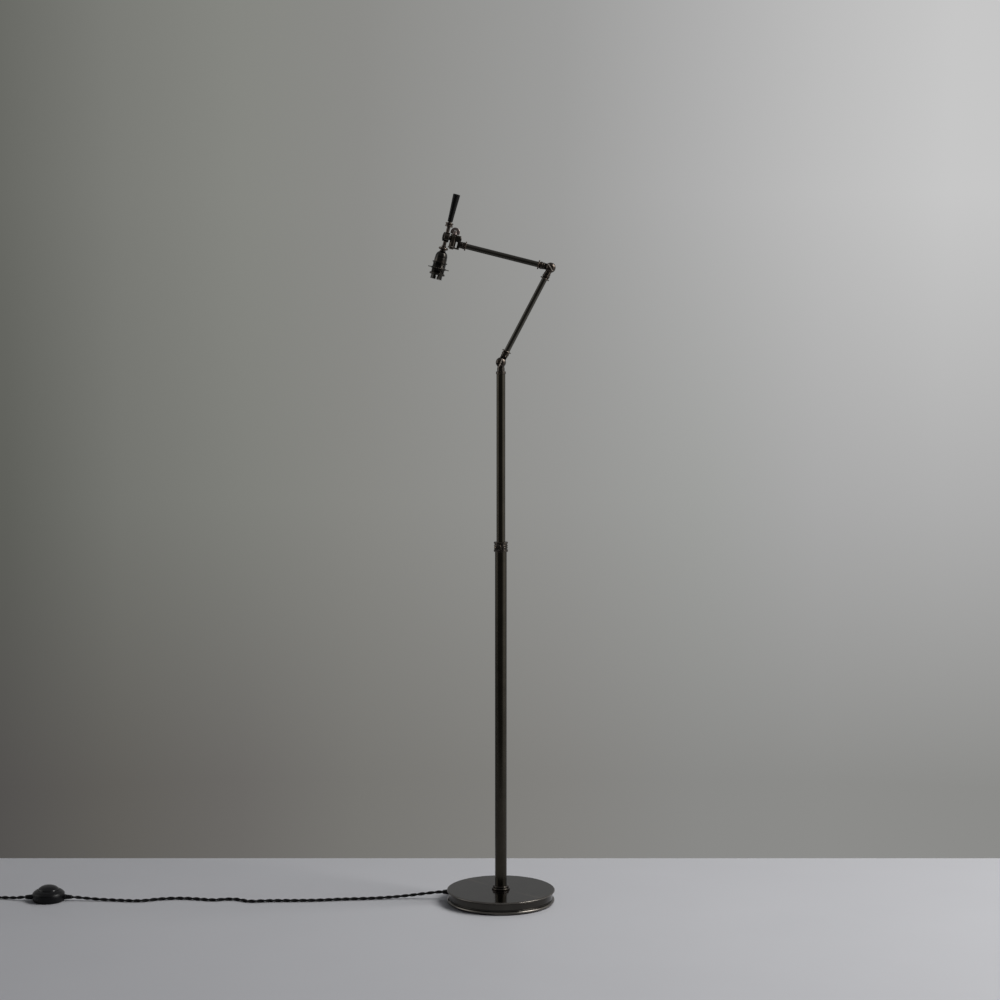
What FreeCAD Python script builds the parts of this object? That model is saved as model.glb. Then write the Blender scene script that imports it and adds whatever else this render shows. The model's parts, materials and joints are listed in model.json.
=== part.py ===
import FreeCAD, Part
import Sketcher
import math
import os

# Adjustable arm floor lamp, millimetres, +Z up. The origin is the middle of the felt face under
# the base. The two arms fold in the XZ plane, the head looks towards -X, and the pivots of the
# arms lie along Y. The mains lead leaves the base towards -X and runs through a foot switch.

V3 = FreeCAD.Vector
doc = FreeCAD.newDocument("floor_lamp")

# ------------------------------------------------------------------ driving dimensions
SIZES = [
    ("base_radius", 116.0), ("base_height", 28.0), ("cover_wall", 1.5), ("felt_radius", 110.0),
    ("felt_thick", 2.0), ("weight_radius", 110.2), ("stud_radius", 5.0), ("stud_bore", 3.3),
    ("foot_collar_radius", 19.5), ("foot_collar_height", 9.0),
    ("lower_tube_radius", 12.7), ("lower_tube_wall", 1.5), ("lower_tube_top", 763.6),
    ("clamp_bottom", 759.6), ("clamp_height", 21.5), ("clamp_radius", 15.25),
    ("clamp_screw_level", 769.6), ("clamp_screw_angle", 21.0), ("clamp_head_radius", 7.8),
    ("upper_tube_radius", 9.5), ("upper_tube_wall", 1.2), ("upper_tube_bottom", 430.0),
    ("upper_tube_top", 1137.6), ("slide_gap", 0.1), ("turning_gap", 0.05),
    ("pivot_level", 1162.6), ("ball_radius", 11.0), ("cheek_inner", 0.6), ("cheek_outer", 6.8),
    ("pivot_pin_radius", 3.0), ("neck_radius", 8.2), ("top_ring_radius", 10.6),
    ("lower_arm_lean", 27.7), ("lower_arm_length", 225.5), ("upper_arm_rise", 14.1),
    ("upper_arm_length", 213.2), ("arm_tube_radius", 6.0), ("arm_tube_wall", 1.2),
    ("arm_collar_radius", 7.9), ("arm_ring_radius", 9.9), ("arm_ring_thick", 2.8),
    ("arm_tube_start", 24.4), ("yoke_upper", 14.5), ("yoke_lower", 8.5), ("yoke_plate", 3.0),
    ("yoke_round", 8.0), ("barrel_radius", 6.8), ("branch_level", 8.7), ("thumb_radius", 10.0),
    ("drum_radius", 10.5), ("drum_near", 9.3), ("drum_far", 20.0), ("stem_reach", 16.0),
    ("stem_radius", 3.75), ("grip_start", 33.0), ("grip_end", 92.0), ("grip_foot_radius", 5.5),
    ("grip_top_radius", 7.6), ("ferrule_radius", 8.5), ("bead_radius", 10.0),
    ("holder_top", 29.6), ("holder_flange", 54.0), ("holder_flange_radius", 16.0),
    ("barrel_outer", 14.0), ("sleeve_inner", 11.3), ("sleeve_wall", 0.9), ("sleeve_end", 91.0),
    ("shade_ring_radius", 22.5), ("shade_ring_level", 67.7),
    ("switch_radius", 34.5), ("switch_seam", 16.5), ("switch_top", 35.0),
    ("switch_offset", 978.5), ("button_radius", 22.6), ("switch_wall", 2.2),
    ("cord_radius", 3.5), ("gland_level", 17.0), ("coil_mean", 39.5), ("coil_height", 21.6),
    ("plug_length", 50.0), ("plug_width", 50.0), ("plug_depth", 18.0),
]
sheet = doc.addObject("Spreadsheet::Sheet", "sizes")
for row, (alias, number) in enumerate(SIZES, start=1):
    sheet.set("A%d" % row, alias)
    sheet.set("B%d" % row, repr(number))
    sheet.setAlias("B%d" % row, alias)
doc.recompute()


class Q:
    """A length that carries both its number and the sheet expression it comes from."""

    def __init__(self, number, text=None):
        self.number, self.text = float(number), text

    def mix(self, other, sign, flip=False):
        other = other if isinstance(other, Q) else Q(other)
        a, b = (other, self) if flip else (self, other)
        number = {"+": a.number + b.number, "-": a.number - b.number,
                  "*": a.number * b.number, "/": a.number / b.number if sign == "/" else 0}[sign]
        if a.text is None and b.text is None:
            return Q(number)
        return Q(number, "(%s %s %s)" % (a.word(), sign, b.word()))

    def word(self):
        return self.text if self.text is not None else "%.6g" % self.number

    def __add__(self, o): return self.mix(o, "+")
    def __radd__(self, o): return self.mix(o, "+", True)
    def __sub__(self, o): return self.mix(o, "-")
    def __rsub__(self, o): return self.mix(o, "-", True)
    def __mul__(self, o): return self.mix(o, "*")
    def __rmul__(self, o): return self.mix(o, "*", True)
    def __truediv__(self, o): return self.mix(o, "/")


def S(alias):
    return Q(dict(SIZES)[alias], "sizes." + alias)


def N(q):
    return q.number if isinstance(q, Q) else float(q)


def bind(obj, prop, q):
    setattr(obj, prop, N(q))
    if isinstance(q, Q) and q.text:
        obj.setExpression(prop, q.text)


# ------------------------------------------------------------------ building helpers
NODES = []
SPARE = [0]


def fresh(stem):
    SPARE[0] += 1
    return "%s_%d" % (stem, SPARE[0])


def node(obj, label, place=None):
    obj.Label = label
    if place is not None:
        obj.Placement = place
    NODES.append(obj)
    return obj


def frame(origin=(0, 0, 0), axis=(0, 1, 0), angle=0.0):
    return FreeCAD.Placement(V3(*origin), FreeCAD.Rotation(V3(*axis), angle))


def frame_to(origin, direction):
    """A frame whose local Z points along direction."""
    return FreeCAD.Placement(V3(*origin), FreeCAD.Rotation(V3(0, 0, 1), V3(*direction)))


def outline(sk, points):
    """A closed outline of (x, y) or (x, y, radius) points in sketch sk. A radius makes the edge
    that leaves the point an arc: positive bulges to the right of the way along, negative to the left."""
    first = sk.GeometryCount
    count = len(points)
    ends, bits = [], []
    for i, p in enumerate(points):
        q = points[(i + 1) % count]
        a, b = V3(N(p[0]), N(p[1]), 0), V3(N(q[0]), N(q[1]), 0)
        if len(p) > 2:
            bow = N(p[2])
            radius = abs(bow)
            mid, half = (a + b) * 0.5, (b - a).Length / 2
            lift = math.sqrt(max(radius * radius - half * half, 0))
            along = (b - a).normalize()
            left = V3(-along.y, along.x, 0)
            centre = mid + left * (lift if bow > 0 else -lift)
            start, stop = (a, b) if bow > 0 else (b, a)
            a0 = math.atan2(start.y - centre.y, start.x - centre.x)
            a1 = math.atan2(stop.y - centre.y, stop.x - centre.x)
            while a1 <= a0:
                a1 += 2 * math.pi
            bits.append(Part.ArcOfCircle(Part.Circle(centre, V3(0, 0, 1), radius), a0, a1))
            ends.append((1, 2) if bow > 0 else (2, 1))
        else:
            bits.append(Part.LineSegment(a, b))
            ends.append((1, 2))
    sk.addGeometry(bits, False)
    rules, words = [], []
    for i, p in enumerate(points):
        g, (here, there) = first + i, ends[i]
        after = first + (i + 1) % count
        rules.append(Sketcher.Constraint("Coincident", g, there, after, ends[(i + 1) % count][0]))
        words.append(None)
        for k, kind, line in ((0, "DistanceX", -2), (1, "DistanceY", -1)):
            if abs(N(p[k])) < 1e-9:
                rules.append(Sketcher.Constraint("PointOnObject", g, here, line))
                words.append(None)
            else:
                rules.append(Sketcher.Constraint(kind, -1, 1, g, here, N(p[k])))
                words.append(p[k].text if isinstance(p[k], Q) else None)
        if len(p) > 2:
            rules.append(Sketcher.Constraint("Radius", g, abs(N(p[2]))))
            words.append(None)
    start = sk.ConstraintCount
    sk.addConstraint(rules)
    for i, text in enumerate(words):
        if text:
            sk.setExpression("Constraints[%d]" % (start + i), text)


def new_sketch(body, role):
    sk = body.newObject("Sketcher::SketchObject", fresh("profile"))
    plane = [f for f in body.Origin.OriginFeatures if f.Role == role][0]
    sk.AttachmentSupport = [(plane, "")]
    sk.MapMode = "FlatFace"
    return sk


def turned(*profiles):
    """A body turned about its own Z from one or more closed (radius, height) outlines."""
    body = doc.addObject("PartDesign::Body", fresh("body"))
    for points in profiles:
        sk = new_sketch(body, "XZ_Plane")
        outline(sk, points)
        turn = body.newObject("PartDesign::Revolution", fresh("turn"))
        turn.Profile = sk
        turn.ReferenceAxis = (sk, ["V_Axis"])
        turn.Angle = 360
        sk.Visibility = False
        body.Tip = turn
    doc.recompute()
    return body


def padded(points, low, high):
    """A body extruded along its own Z between two heights from a closed (x, y) outline."""
    body = doc.addObject("PartDesign::Body", fresh("body"))
    sk = new_sketch(body, "XY_Plane")
    bind_offset(sk, low)
    outline(sk, points)
    pad = body.newObject("PartDesign::Pad", fresh("pad"))
    pad.Profile = sk
    bind(pad, "Length", (high if isinstance(high, Q) else Q(high)) - low)
    body.Tip = pad
    doc.recompute()
    return body


def bind_offset(sk, low):
    sk.AttachmentOffset = FreeCAD.Placement(V3(0, 0, N(low)), FreeCAD.Rotation())
    if isinstance(low, Q) and low.text:
        sk.setExpression("AttachmentOffset.Base.z", low.text)


def cylinder(radius, height, place=None):
    obj = doc.addObject("Part::Cylinder", fresh("cylinder"))
    bind(obj, "Radius", radius)
    bind(obj, "Height", height)
    if place is not None:
        obj.Placement = place
    return obj


def box(x, y, z):
    """A box between the given (low, high) pairs along each axis."""
    obj = doc.addObject("Part::Box", fresh("box"))
    for prop, (low, high) in (("Length", x), ("Width", y), ("Height", z)):
        bind(obj, prop, (high if isinstance(high, Q) else Q(high)) - low)
    obj.Placement = frame((N(x[0]), N(y[0]), N(z[0])))
    return obj


def fuse(*parts):
    obj = doc.addObject("Part::MultiFuse", fresh("fuse"))
    obj.Shapes = list(parts)
    obj.Refine = True
    return obj


def common(a, b):
    obj = doc.addObject("Part::Common", fresh("common"))
    obj.Base, obj.Tool = a, b
    return obj


def cut(base, *tools):
    for tool in tools:
        obj = doc.addObject("Part::Cut", fresh("cut"))
        obj.Base, obj.Tool = base, tool
        doc.recompute()
        before, after = base.Shape.Volume, obj.Shape.Volume
        if not after < before - 1e-6:
            raise SystemExit("a cut took nothing away: " + tool.Name)
        base = obj
    return base


def compound(*parts):
    obj = doc.addObject("Part::Compound", fresh("group"))
    obj.Links = list(parts)
    return obj


def along(place, x=0.0, y=0.0, z=0.0, turn=None):
    """place, then a move in its own frame, then a turn (axis, degrees)."""
    step = FreeCAD.Placement(V3(N(x), N(y), N(z)), FreeCAD.Rotation())
    if turn:
        step = step.multiply(FreeCAD.Placement(V3(), FreeCAD.Rotation(V3(*turn[0]), turn[1])))
    return place.multiply(step)


Y_FORWARD = ((1, 0, 0), 90)     # local Z to -Y
Y_BACK = ((1, 0, 0), -90)       # local Z to +Y

# ------------------------------------------------------------------ weighted base
R, top = S("base_radius"), S("base_height")
wall = S("cover_wall")

node(turned([(0, 0), (S("felt_radius"), 0), (S("felt_radius"), S("felt_thick")), (0, S("felt_thick"))]), "felt_pad")

gland_turn = 172.0
gland_dir = V3(math.cos(math.radians(gland_turn)), math.sin(math.radians(gland_turn)), 0)


def gland_at(reach, level=None):
    p = gland_dir * reach
    return (p.x, p.y, N(S("gland_level") if level is None else level))


iron = turned([
    (S("stud_radius") + 0.1, 20), (24, 20), (24, S("felt_thick")), (S("weight_radius") - 1.5, S("felt_thick")),
    (S("weight_radius"), S("felt_thick") + 1.5), (S("weight_radius"), top - wall),
    (S("stud_radius") + 0.1, top - wall)])
iron = cut(iron,
           cylinder(5.4, 95, frame_to(gland_at(18), gland_dir)),
           cylinder(8.1, 20, frame_to(gland_at(101.5), gland_dir)))
node(iron, "base_weight")

cover = turned([
    (S("stud_radius") + 0.1, top - wall), (R - 5.6, top - wall), (R - 5.6, 3.4), (R - 4.6, 1.8),
    (R - 2.6, 1.8, 3.2), (R, 4.7, 3.2), (R - 2.6, 7.6), (R - 3.4, 7.9), (R - 3.4, 8.6), (R - 2.9, 9.0),
    (R - 3.5, 9.6, -60), (R - 3.5, 23.2), (R - 1.6, 23.9), (R - 0.5, 24.5, 1.6), (R - 0.5, 27.4),
    (R - 1.7, top), (S("stud_radius") + 0.1, top)])
cover = cut(cover, cylinder(6.05, 20, frame_to(gland_at(102), gland_dir)))
node(cover, "base_cover")

gland = turned([
    (S("cord_radius") + 0.1, 0), (7.9, 0), (7.9, 6.4), (5.9, 6.4), (5.9, 10.4), (5.6, 12.4),
    (4.5, 16.6), (S("cord_radius") + 0.1, 16.6)])
node(gland, "cord_gland", frame_to(gland_at(102.6), gland_dir))

stud = turned([
    (S("stud_bore"), 8), (S("stud_radius"), 8), (S("stud_radius"), top), (11.15, top), (11.15, top + 22),
    (10.4, top + 24), (S("stud_bore"), top + 24)])
node(stud, "pole_stud")

nut_points = [(8.5 / math.cos(math.radians(30)) * math.cos(math.radians(60 * k)),
               8.5 / math.cos(math.radians(30)) * math.sin(math.radians(60 * k))) for k in range(6)]
nut = cut(padded(nut_points, 12, 20), cylinder(S("stud_radius") + 0.02, 20, frame((0, 0, 5))))
node(nut, "base_lock_nut")

node(turned([
    (S("lower_tube_radius") + 0.05, top), (S("foot_collar_radius") - 0.7, top),
    (S("foot_collar_radius"), top + 0.7), (S("foot_collar_radius"), top + 1.4, 2.2),
    (S("foot_collar_radius") - 1.9, top + 4.2), (S("foot_collar_radius") - 3.2, top + 4.6),
    (S("foot_collar_radius") - 3.2, top + 5.2), (S("foot_collar_radius") - 2.2, top + 5.6, 1.9),
    (S("foot_collar_radius") - 3.6, top + S("foot_collar_height") - 0.4),
    (S("foot_collar_radius") - 4.4, top + S("foot_collar_height")),
    (S("lower_tube_radius") + 0.05, top + S("foot_collar_height"))]), "pole_foot_collar")

# ------------------------------------------------------------------ lower pole and height clamp
tr, tw = S("lower_tube_radius"), S("lower_tube_wall")
node(turned([(tr - tw, top), (tr, top), (tr, S("lower_tube_top")), (tr - tw, S("lower_tube_top"))]), "lower_tube")

ur = S("upper_tube_radius")
cb, ct, cr = S("clamp_bottom"), S("clamp_bottom") + S("clamp_height"), S("clamp_radius")
clamp = turned([
    (tr + 0.05, cb), (cr - 0.6, cb), (cr, cb + 0.6), (cr, cb + 4.4), (cr - 0.6, cb + 5.0), (cr - 1.5, cb + 5.2),
    (cr - 1.5, cb + 7.2), (cr - 0.9, cb + 7.5), (cr - 0.4, cb + 8.1), (cr - 0.4, cb + 9.8), (cr - 0.9, cb + 10.4),
    (cr - 1.5, cb + 10.7), (cr - 1.5, cb + 11.5), (cr - 0.9, cb + 11.8), (cr - 0.4, cb + 12.4),
    (cr - 0.4, cb + 14.2), (cr - 0.9, cb + 14.8), (cr - 1.5, cb + 15.1), (cr - 1.5, cb + 17.2),
    (cr - 0.7, cb + 17.5), (cr, cb + 18.1), (cr, cb + 20.4), (cr - 1.1, ct), (ur + 0.3, ct),
    (ur + 0.3, S("lower_tube_top")), (tr + 0.05, S("lower_tube_top"))])
screw_turn = math.radians(-90 - N(S("clamp_screw_angle")))
screw_dir = V3(math.cos(screw_turn), math.sin(screw_turn), 0)
screw_frame = frame_to((0, 0, N(S("clamp_screw_level"))), screw_dir)
clamp = cut(clamp, cylinder(2.55, 10, along(screw_frame, z=8.5)))
node(clamp, "clamp_collar")

node(turned([(ur + S("slide_gap"), S("lower_tube_top") - 34), (tr - tw - 0.05, S("lower_tube_top") - 34), (tr - tw - 0.05, S("lower_tube_top") - 0.4),
             (ur + S("slide_gap"), S("lower_tube_top") - 0.4)]), "guide_bush")

head = S("clamp_head_radius")
clamp_screw = turned([
    (0, 10.2), (2.0, 10.2), (2.5, 10.8), (2.5, 15.9), (3.6, 15.9), (3.6, 17.4), (head - 1.0, 17.4), (head, 18.2),
    (head, 20.2, 22), (head * 0.5, 22.1, 40), (0, 22.4)])
clamp_screw = cut(clamp_screw, box((-0.9, 0.9), (-12, 12), (20.6, 30)))
node(clamp_screw, "clamp_screw", along(screw_frame, turn=((0, 0, 1), 38.0)))

# ------------------------------------------------------------------ sliding upper pole
ub = S("upper_tube_bottom")
node(turned([(ur + S("slide_gap"), ub + 4), (tr - tw - S("slide_gap"), ub + 4), (tr - tw - S("slide_gap"), ub + 18),
             (ur + S("slide_gap"), ub + 18)]), "glide_ring")
clips = [turned([(ur + 0.02, ub + a), (ur + 1.1, ub + a), (ur + 1.1, ub + a + 1.2), (ur + 0.02, ub + a + 1.2)])
         for a in (2.5, 18.3)]
node(compound(*clips), "glide_clips")
node(turned([(ur - S("upper_tube_wall"), ub), (ur, ub), (ur, S("upper_tube_top")),
             (ur - S("upper_tube_wall"), S("upper_tube_top"))]), "upper_tube")

# ------------------------------------------------------------------ the two arm pivots
ball, ci, co, pin = S("ball_radius"), S("cheek_inner"), S("cheek_outer"), S("pivot_pin_radius")
gap = S("turning_gap")


def ball_cheek(side):
    """Half of a split ball: a spherical zone about Y on one side (+1 back, -1 front)."""
    low = math.sqrt(N(ball) ** 2 - N(ci) ** 2)
    high = math.sqrt(N(ball) ** 2 - N(co) ** 2)
    zone = turned([(pin + gap, ci), (low, ci, N(ball)), (high, co), (pin + gap, co)])
    zone.Placement = frame(axis=(1, 0, 0), angle=-90 if side > 0 else 90)
    return zone


def knuckle_end(side, profile, neck, reach, bore):
    """An end piece whose own Z runs away from its pivot: a half ball, a half neck, then a turned
    collar and spigot."""
    body = turned(profile)
    half = common(cylinder(neck, reach), box((-20, 20), (ci, co) if side > 0 else (co * -1, ci * -1), (0, 40)))
    whole = fuse(body, half, ball_cheek(side))
    doc.recompute()
    length = max(N(p[1]) for p in profile)
    whole = cut(whole, cylinder(pin + gap, 30, frame((0, -15, 0), (1, 0, 0), -90)),
                cylinder(bore, length, frame((0, 0, 11.8))))
    return whole


P1 = (0.0, 0.0, N(S("pivot_level")))
lean, rise = N(S("lower_arm_lean")), N(S("upper_arm_rise"))
L1, L2 = N(S("lower_arm_length")), N(S("upper_arm_length"))
arm1 = frame(P1, (0, 1, 0), lean)
P2 = tuple(arm1.multVec(V3(0, 0, L1)))
arm2 = frame(P2, (0, 1, 0), rise - 90.0)
P3 = tuple(arm2.multVec(V3(0, 0, L2)))

nr, tring = S("neck_radius"), S("top_ring_radius")
spigot = ur - S("upper_tube_wall") - 0.05
seat = S("pivot_level") - S("upper_tube_top")
column_knuckle = knuckle_end(-1, [
    (0, 11.6), (nr - 0.6, 11.6), (nr, 12.2), (nr, 18.4), (nr + 0.7, 18.9), (tring - 0.7, 19.0), (tring, 19.7),
    (tring, seat - 0.7), (tring - 0.7, seat), (spigot, seat), (spigot, seat + 24), (spigot - 1, seat + 25),
    (0, seat + 25)], nr - 0.6, 12.6, 3.2)
node(column_knuckle, "column_knuckle", frame(P1, (0, 1, 0), 180.0))

ar, aw, acr = S("arm_tube_radius"), S("arm_tube_wall"), S("arm_collar_radius")
a0 = S("arm_tube_start")
arm_profile = [
    (0, 13.6), (acr - 1.2, 13.6), (acr - 0.4, 14.3), (acr - 0.4, 16.4), (acr - 1.1, 16.9), (acr - 1.1, 17.5),
    (acr, 18.0), (acr, 22.4), (acr - 0.9, 23.2), (acr - 1.4, a0), (ar - aw - 0.05, a0), (ar - aw - 0.05, a0 + 12),
    (0, a0 + 12)]


def pivot_set(place, prefix, slot):
    """The slotted dome screw, the dome nut behind and the friction washer of one pivot."""
    screw = turned([
        (0, 0), (pin - 0.4, 0), (pin, 0.4), (pin, 14.6), (9.0, 14.6), (9.2, 15.4, 11.5), (5.4, 18.3, 16.5),
        (0, 19.1)])
    screw = cut(screw, box((-1.1, 1.1), (-12, 12), (16.0, 30)))
    node(screw, prefix + "_screw", along(place, y=7.8, turn=Y_FORWARD).multiply(frame(axis=(0, 0, 1), angle=slot)))
    nut = turned([
        (pin + 0.02, 0), (7.4, 0), (7.8, 0.6), (7.8, 1.8, 9.5), (4.6, 3.9), (pin + 0.02, 3.9)])
    node(nut, prefix + "_nut", along(place, y=7.0, turn=Y_BACK))
    washer = turned([(pin + 0.1, 0), (8.0, 0), (8.0, 1.0), (pin + 0.1, 1.0)])
    node(washer, prefix + "_washer", along(place, y=-0.5, turn=Y_BACK))


pivot_set(frame(P1), "lower_pivot", 65.0 - 90.0)

# ------------------------------------------------------------------ lower arm
node(knuckle_end(1, arm_profile, acr - 1.2, 14.2, 2.4), "lower_arm_knuckle", arm1)
node(turned([(ar - aw, a0), (ar, a0), (ar, S("lower_arm_length") - a0), (ar - aw, S("lower_arm_length") - a0)]),
     "lower_arm_tube", arm1)
arr, art = S("arm_ring_radius"), S("arm_ring_thick")


def arm_ring(start):
    return turned([(ar + 0.03, start), (arr - 0.6, start), (arr, start + 0.6), (arr, start + art - 0.6),
                   (arr - 0.6, start + art), (ar + 0.03, start + art)])


node(compound(arm_ring(a0 + 0.2), arm_ring(S("lower_arm_length") - a0 - 0.2 - art)), "lower_arm_rings", arm1)
node(knuckle_end(-1, arm_profile, acr - 1.2, 14.2, 2.4), "elbow_socket", frame(P2, (0, 1, 0), lean + 180.0))
pivot_set(frame(P2), "elbow_pivot", 90.0 - 58.6)

# ------------------------------------------------------------------ upper arm and head yoke
tube_end = S("upper_arm_length") - 26.6
node(knuckle_end(1, arm_profile, acr - 1.2, 14.2, 2.4), "upper_arm_knuckle", arm2)
node(turned([(ar - aw, a0), (ar, a0), (ar, tube_end), (ar - aw, tube_end)]), "upper_arm_tube", arm2)
node(compound(arm_ring(a0 + 0.2), arm_ring(tube_end - 0.2 - art)), "upper_arm_rings", arm2)

# head frame: own Z along the arm (away from the elbow), own X up across the arm
hub = frame(P3, (0, 1, 0), rise - 90.0)
up, dn, plate, rnd = S("yoke_upper"), S("yoke_lower"), S("yoke_plate"), S("yoke_round")
X_UP = ((0, 1, 0), 90)          # local Z to +X
spig = turned([(0, 0), (ar - aw - 0.05, 0), (ar - aw - 0.05, 12), (acr - 1.2, 12), (acr - 0.4, 12.8),
               (acr - 0.4, 15.6), (acr - 1.2, 16.4), (7.0, 17.2), (7.0, 27), (0, 27)])
spig.Placement = frame((0, 0, -38.6))
corner = turned([(0, -7.6), (5.8, -7.6), (7.0, -6.4), (7.0, 6.4), (5.8, 7.6), (0, 7.6)])
corner.Placement = frame((N(up) + N(plate) - 7.0, 0, -10.0), (1, 0, 0), 90)
yoke = fuse(
    spig,
    box((dn * -1 - plate, up + plate - 3.0), (-7, 7), (-16, -10.4)),
    corner,
    box((up, up + plate), (rnd * -1, rnd), (-15.2, 0)),
    box((dn * -1 - plate, dn * -1), (rnd * -1, rnd), (-15.2, 0)),
    cylinder(rnd, plate, frame((N(up), 0, 0), (0, 1, 0), 90)),
    cylinder(rnd, plate, frame((-N(dn) - N(plate), 0, 0), (0, 1, 0), 90)))
doc.recompute()
yoke = cut(yoke, cylinder(S("barrel_radius") + 0.7, N(up) + N(dn), frame((-N(dn), 0, 0), (0, 1, 0), 90)),
           cylinder(3.05, 60, frame((-30, 0, 0), (0, 1, 0), 90)),
           cylinder(2.4, 30, frame((0, 0, -39))))
node(yoke, "head_yoke", hub)

low_face = N(dn) + N(plate)
bolt = turned([(0, 0), (4.2, 0), (4.8, 0.9), (4.8, 2.2), (3.0, 2.2), (3.0, 38.6), (2.6, 39.2), (0, 39.2)])
node(bolt, "yaw_bolt", along(hub, x=-low_face - 2.2, turn=X_UP))
node(compound(turned([(3.1, 0.05), (7.0, 0.05), (7.0, 0.55), (3.1, 0.55)]),
              turned([(3.1, 22.4), (7.0, 22.4), (7.0, 22.9), (3.1, 22.9)])), "yaw_washers", along(hub, x=-8.5, turn=X_UP))

thumb_r = S("thumb_radius")
boss = turned([(3.05, 0), (4.9, 0), (5.2, 0.5), (5.2, 1.8), (4.4, 2.8), (4.4, 5.4), (3.05, 5.4)])
coin = cylinder(thumb_r, 3.4, frame((0, 1.7, 5.2), (1, 0, 0), 90))
thumb = common(coin, box((-20, 20), (-20, 20), (1.0, 30)))
thumb = cut(fuse(boss, thumb), cylinder(3.05, 9.4, frame((0, 0, -0.6))))
node(thumb, "yaw_thumb_screw", along(hub, x=N(up) + N(plate) + 0.3, turn=X_UP))

# ------------------------------------------------------------------ swivel between yoke and head
bl = N(S("branch_level"))
branch = turned([(0, 5.0), (3.9, 5.0), (3.9, 6.2), (4.9, 6.6), (5.0, 7.0), (5.0, 8.4), (4.4, 9.0), (3.5, 9.0), (3.5, 11.8),
                 (3.2, 12.1), (0, 12.1)])
branch.Placement = frame((bl, 0, 0))
barrel_len = N(up) + N(dn) - 1.4
post = cylinder(S("barrel_radius"), barrel_len, frame((-N(dn) + 0.7, 0, 0), (0, 1, 0), 90))
swivel = fuse(post, branch)
doc.recompute()
node(cut(swivel, cylinder(3.05, 40, frame((-20, 0, 0), (0, 1, 0), 90))), "yaw_barrel", hub)

# ------------------------------------------------------------------ head: drum, handle and lampholder
dr, near, far = S("drum_radius"), S("drum_near"), S("drum_far")
reach = N(S("stem_reach"))
drum = turned([(3.55, near), (dr - 1.0, near), (dr, near + 1.0), (dr, far - 1.0), (dr - 1.0, far), (6.5, far),
               (6.5, near + 3.0), (3.55, near + 3.0)])
drum = cut(drum, cylinder(S("stem_radius") + 0.03, 30, frame((-15, 0, reach), (0, 1, 0), 90)))
node(drum, "head_drum", along(hub, x=bl))
cap_screw = turned([(0, 17.4), (5.6, 17.4), (6.4, 18.2), (6.4, 20.05), (9.2, 20.05), (9.6, 20.6), (9.6, 22.2, 14.0), (5.0, 24.2, 40),
                    (0, 24.5)])
cap_screw = cut(cap_screw, box((-0.9, 0.9), (-12, 12), (22.7, 30)))
node(cap_screw, "head_cap", along(hub, x=bl).multiply(frame(axis=(0, 0, 1), angle=62.0)))

# stem frames start in the middle of the drum: one points up to the handle, one down to the lamp
stem_up = along(hub, x=bl, z=reach, turn=X_UP)
stem_down = along(hub, x=bl, z=reach, turn=((0, 1, 0), -90))
sr, fr = S("stem_radius"), S("ferrule_radius")
shank = turned([
    (0, 7.4), (sr, 7.4), (sr, 21.4), (5.4, 21.9), (fr - 0.8, 22.1), (fr, 22.9), (fr, 24.6), (fr - 0.7, 25.3),
    (fr - 1.3, 25.7), (fr - 1.3, 27.2), (fr - 0.7, 27.6), (fr, 28.3), (fr, 29.9), (fr - 0.9, 30.7), (4.6, 31.0),
    (3.7, 31.4), (3.7, 33), (2.4, 33), (2.4, 70), (0, 70)])
node(shank, "handle_shank", stem_up)
g0, g1 = S("grip_start"), S("grip_end")
gf, gt = S("grip_foot_radius"), S("grip_top_radius")
grip = turned([
    (2.45, g0), (gf - 0.4, g0), (gf, g0 + 0.5), (gf + 0.25, g0 + 12), (gf + 0.9, g0 + 30), (gf + 1.6, g0 + 46),
    (gt - 0.05, g1 - 2.0), (gt, g1 - 0.9), (gt - 0.7, g1 - 0.1), (gt - 1.3, g1), (0, g1), (0, 70.2), (2.45, 70.2)])
node(grip, "handle_grip", stem_up)

br = S("bead_radius")
coupler = turned([
    (2.2, 7.4), (sr, 7.4), (sr, 18.6), (5.2, 19.0), (5.2, 20.4), (4.6, 20.9), (4.6, 21.9), (br - 1.6, 22.3),
    (br - 0.4, 23.2, 2.6), (br - 0.4, 26.6), (br - 1.6, 27.5), (6.6, 27.8), (5.4, 28.4), (5.4, 29.4), (sr, 29.5),
    (sr, 34), (2.2, 34)])
node(coupler, "stem_coupler", stem_down)

ht, hf, hfr = S("holder_top"), S("holder_flange"), S("holder_flange_radius")
bo, si, sw = S("barrel_outer"), S("sleeve_inner"), S("sleeve_wall")
dome = turned([
    (sr + 0.05, ht), (6.0, ht), (6.6, ht + 0.5), (6.8, ht + 2.2, 9.5), (12.0, ht + 9.0, 12.0), (12.9, ht + 12.4), (12.9, ht + 16.0),
    (13.3, ht + 16.5), (13.3, hf - 0.1), (12.2, hf - 0.1), (12.2, ht + 17.0), (11.6, ht + 13.0, -10.8), (10.9, ht + 10.0, -8.5),
    (5.7, ht + 3.6), (5.4, ht + 1.6), (sr + 0.05, ht + 1.6)])
node(dome, "lampholder_cap", stem_down)
barrel = turned([
    (si + sw + 0.05, hf), (hfr - 0.6, hf), (hfr, hf + 0.6), (hfr, hf + 1.9), (hfr - 0.6, hf + 2.5), (bo + 0.2, hf + 2.9),
    (bo, hf + 3.4), (bo, 80), (bo - 0.6, 80.6), (si + sw + 0.05, 80.6)])
node(barrel, "lampholder_barrel", stem_down)
sleeve = turned([
    (si, 67), (si + 0.3, 67), (si + 0.3, 50), (si + sw, 50), (si + sw, S("sleeve_end") - 1.2), (si + sw + 0.35, S("sleeve_end") - 0.7),
    (si + sw + 0.2, S("sleeve_end")), (si, S("sleeve_end"))])
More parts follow.
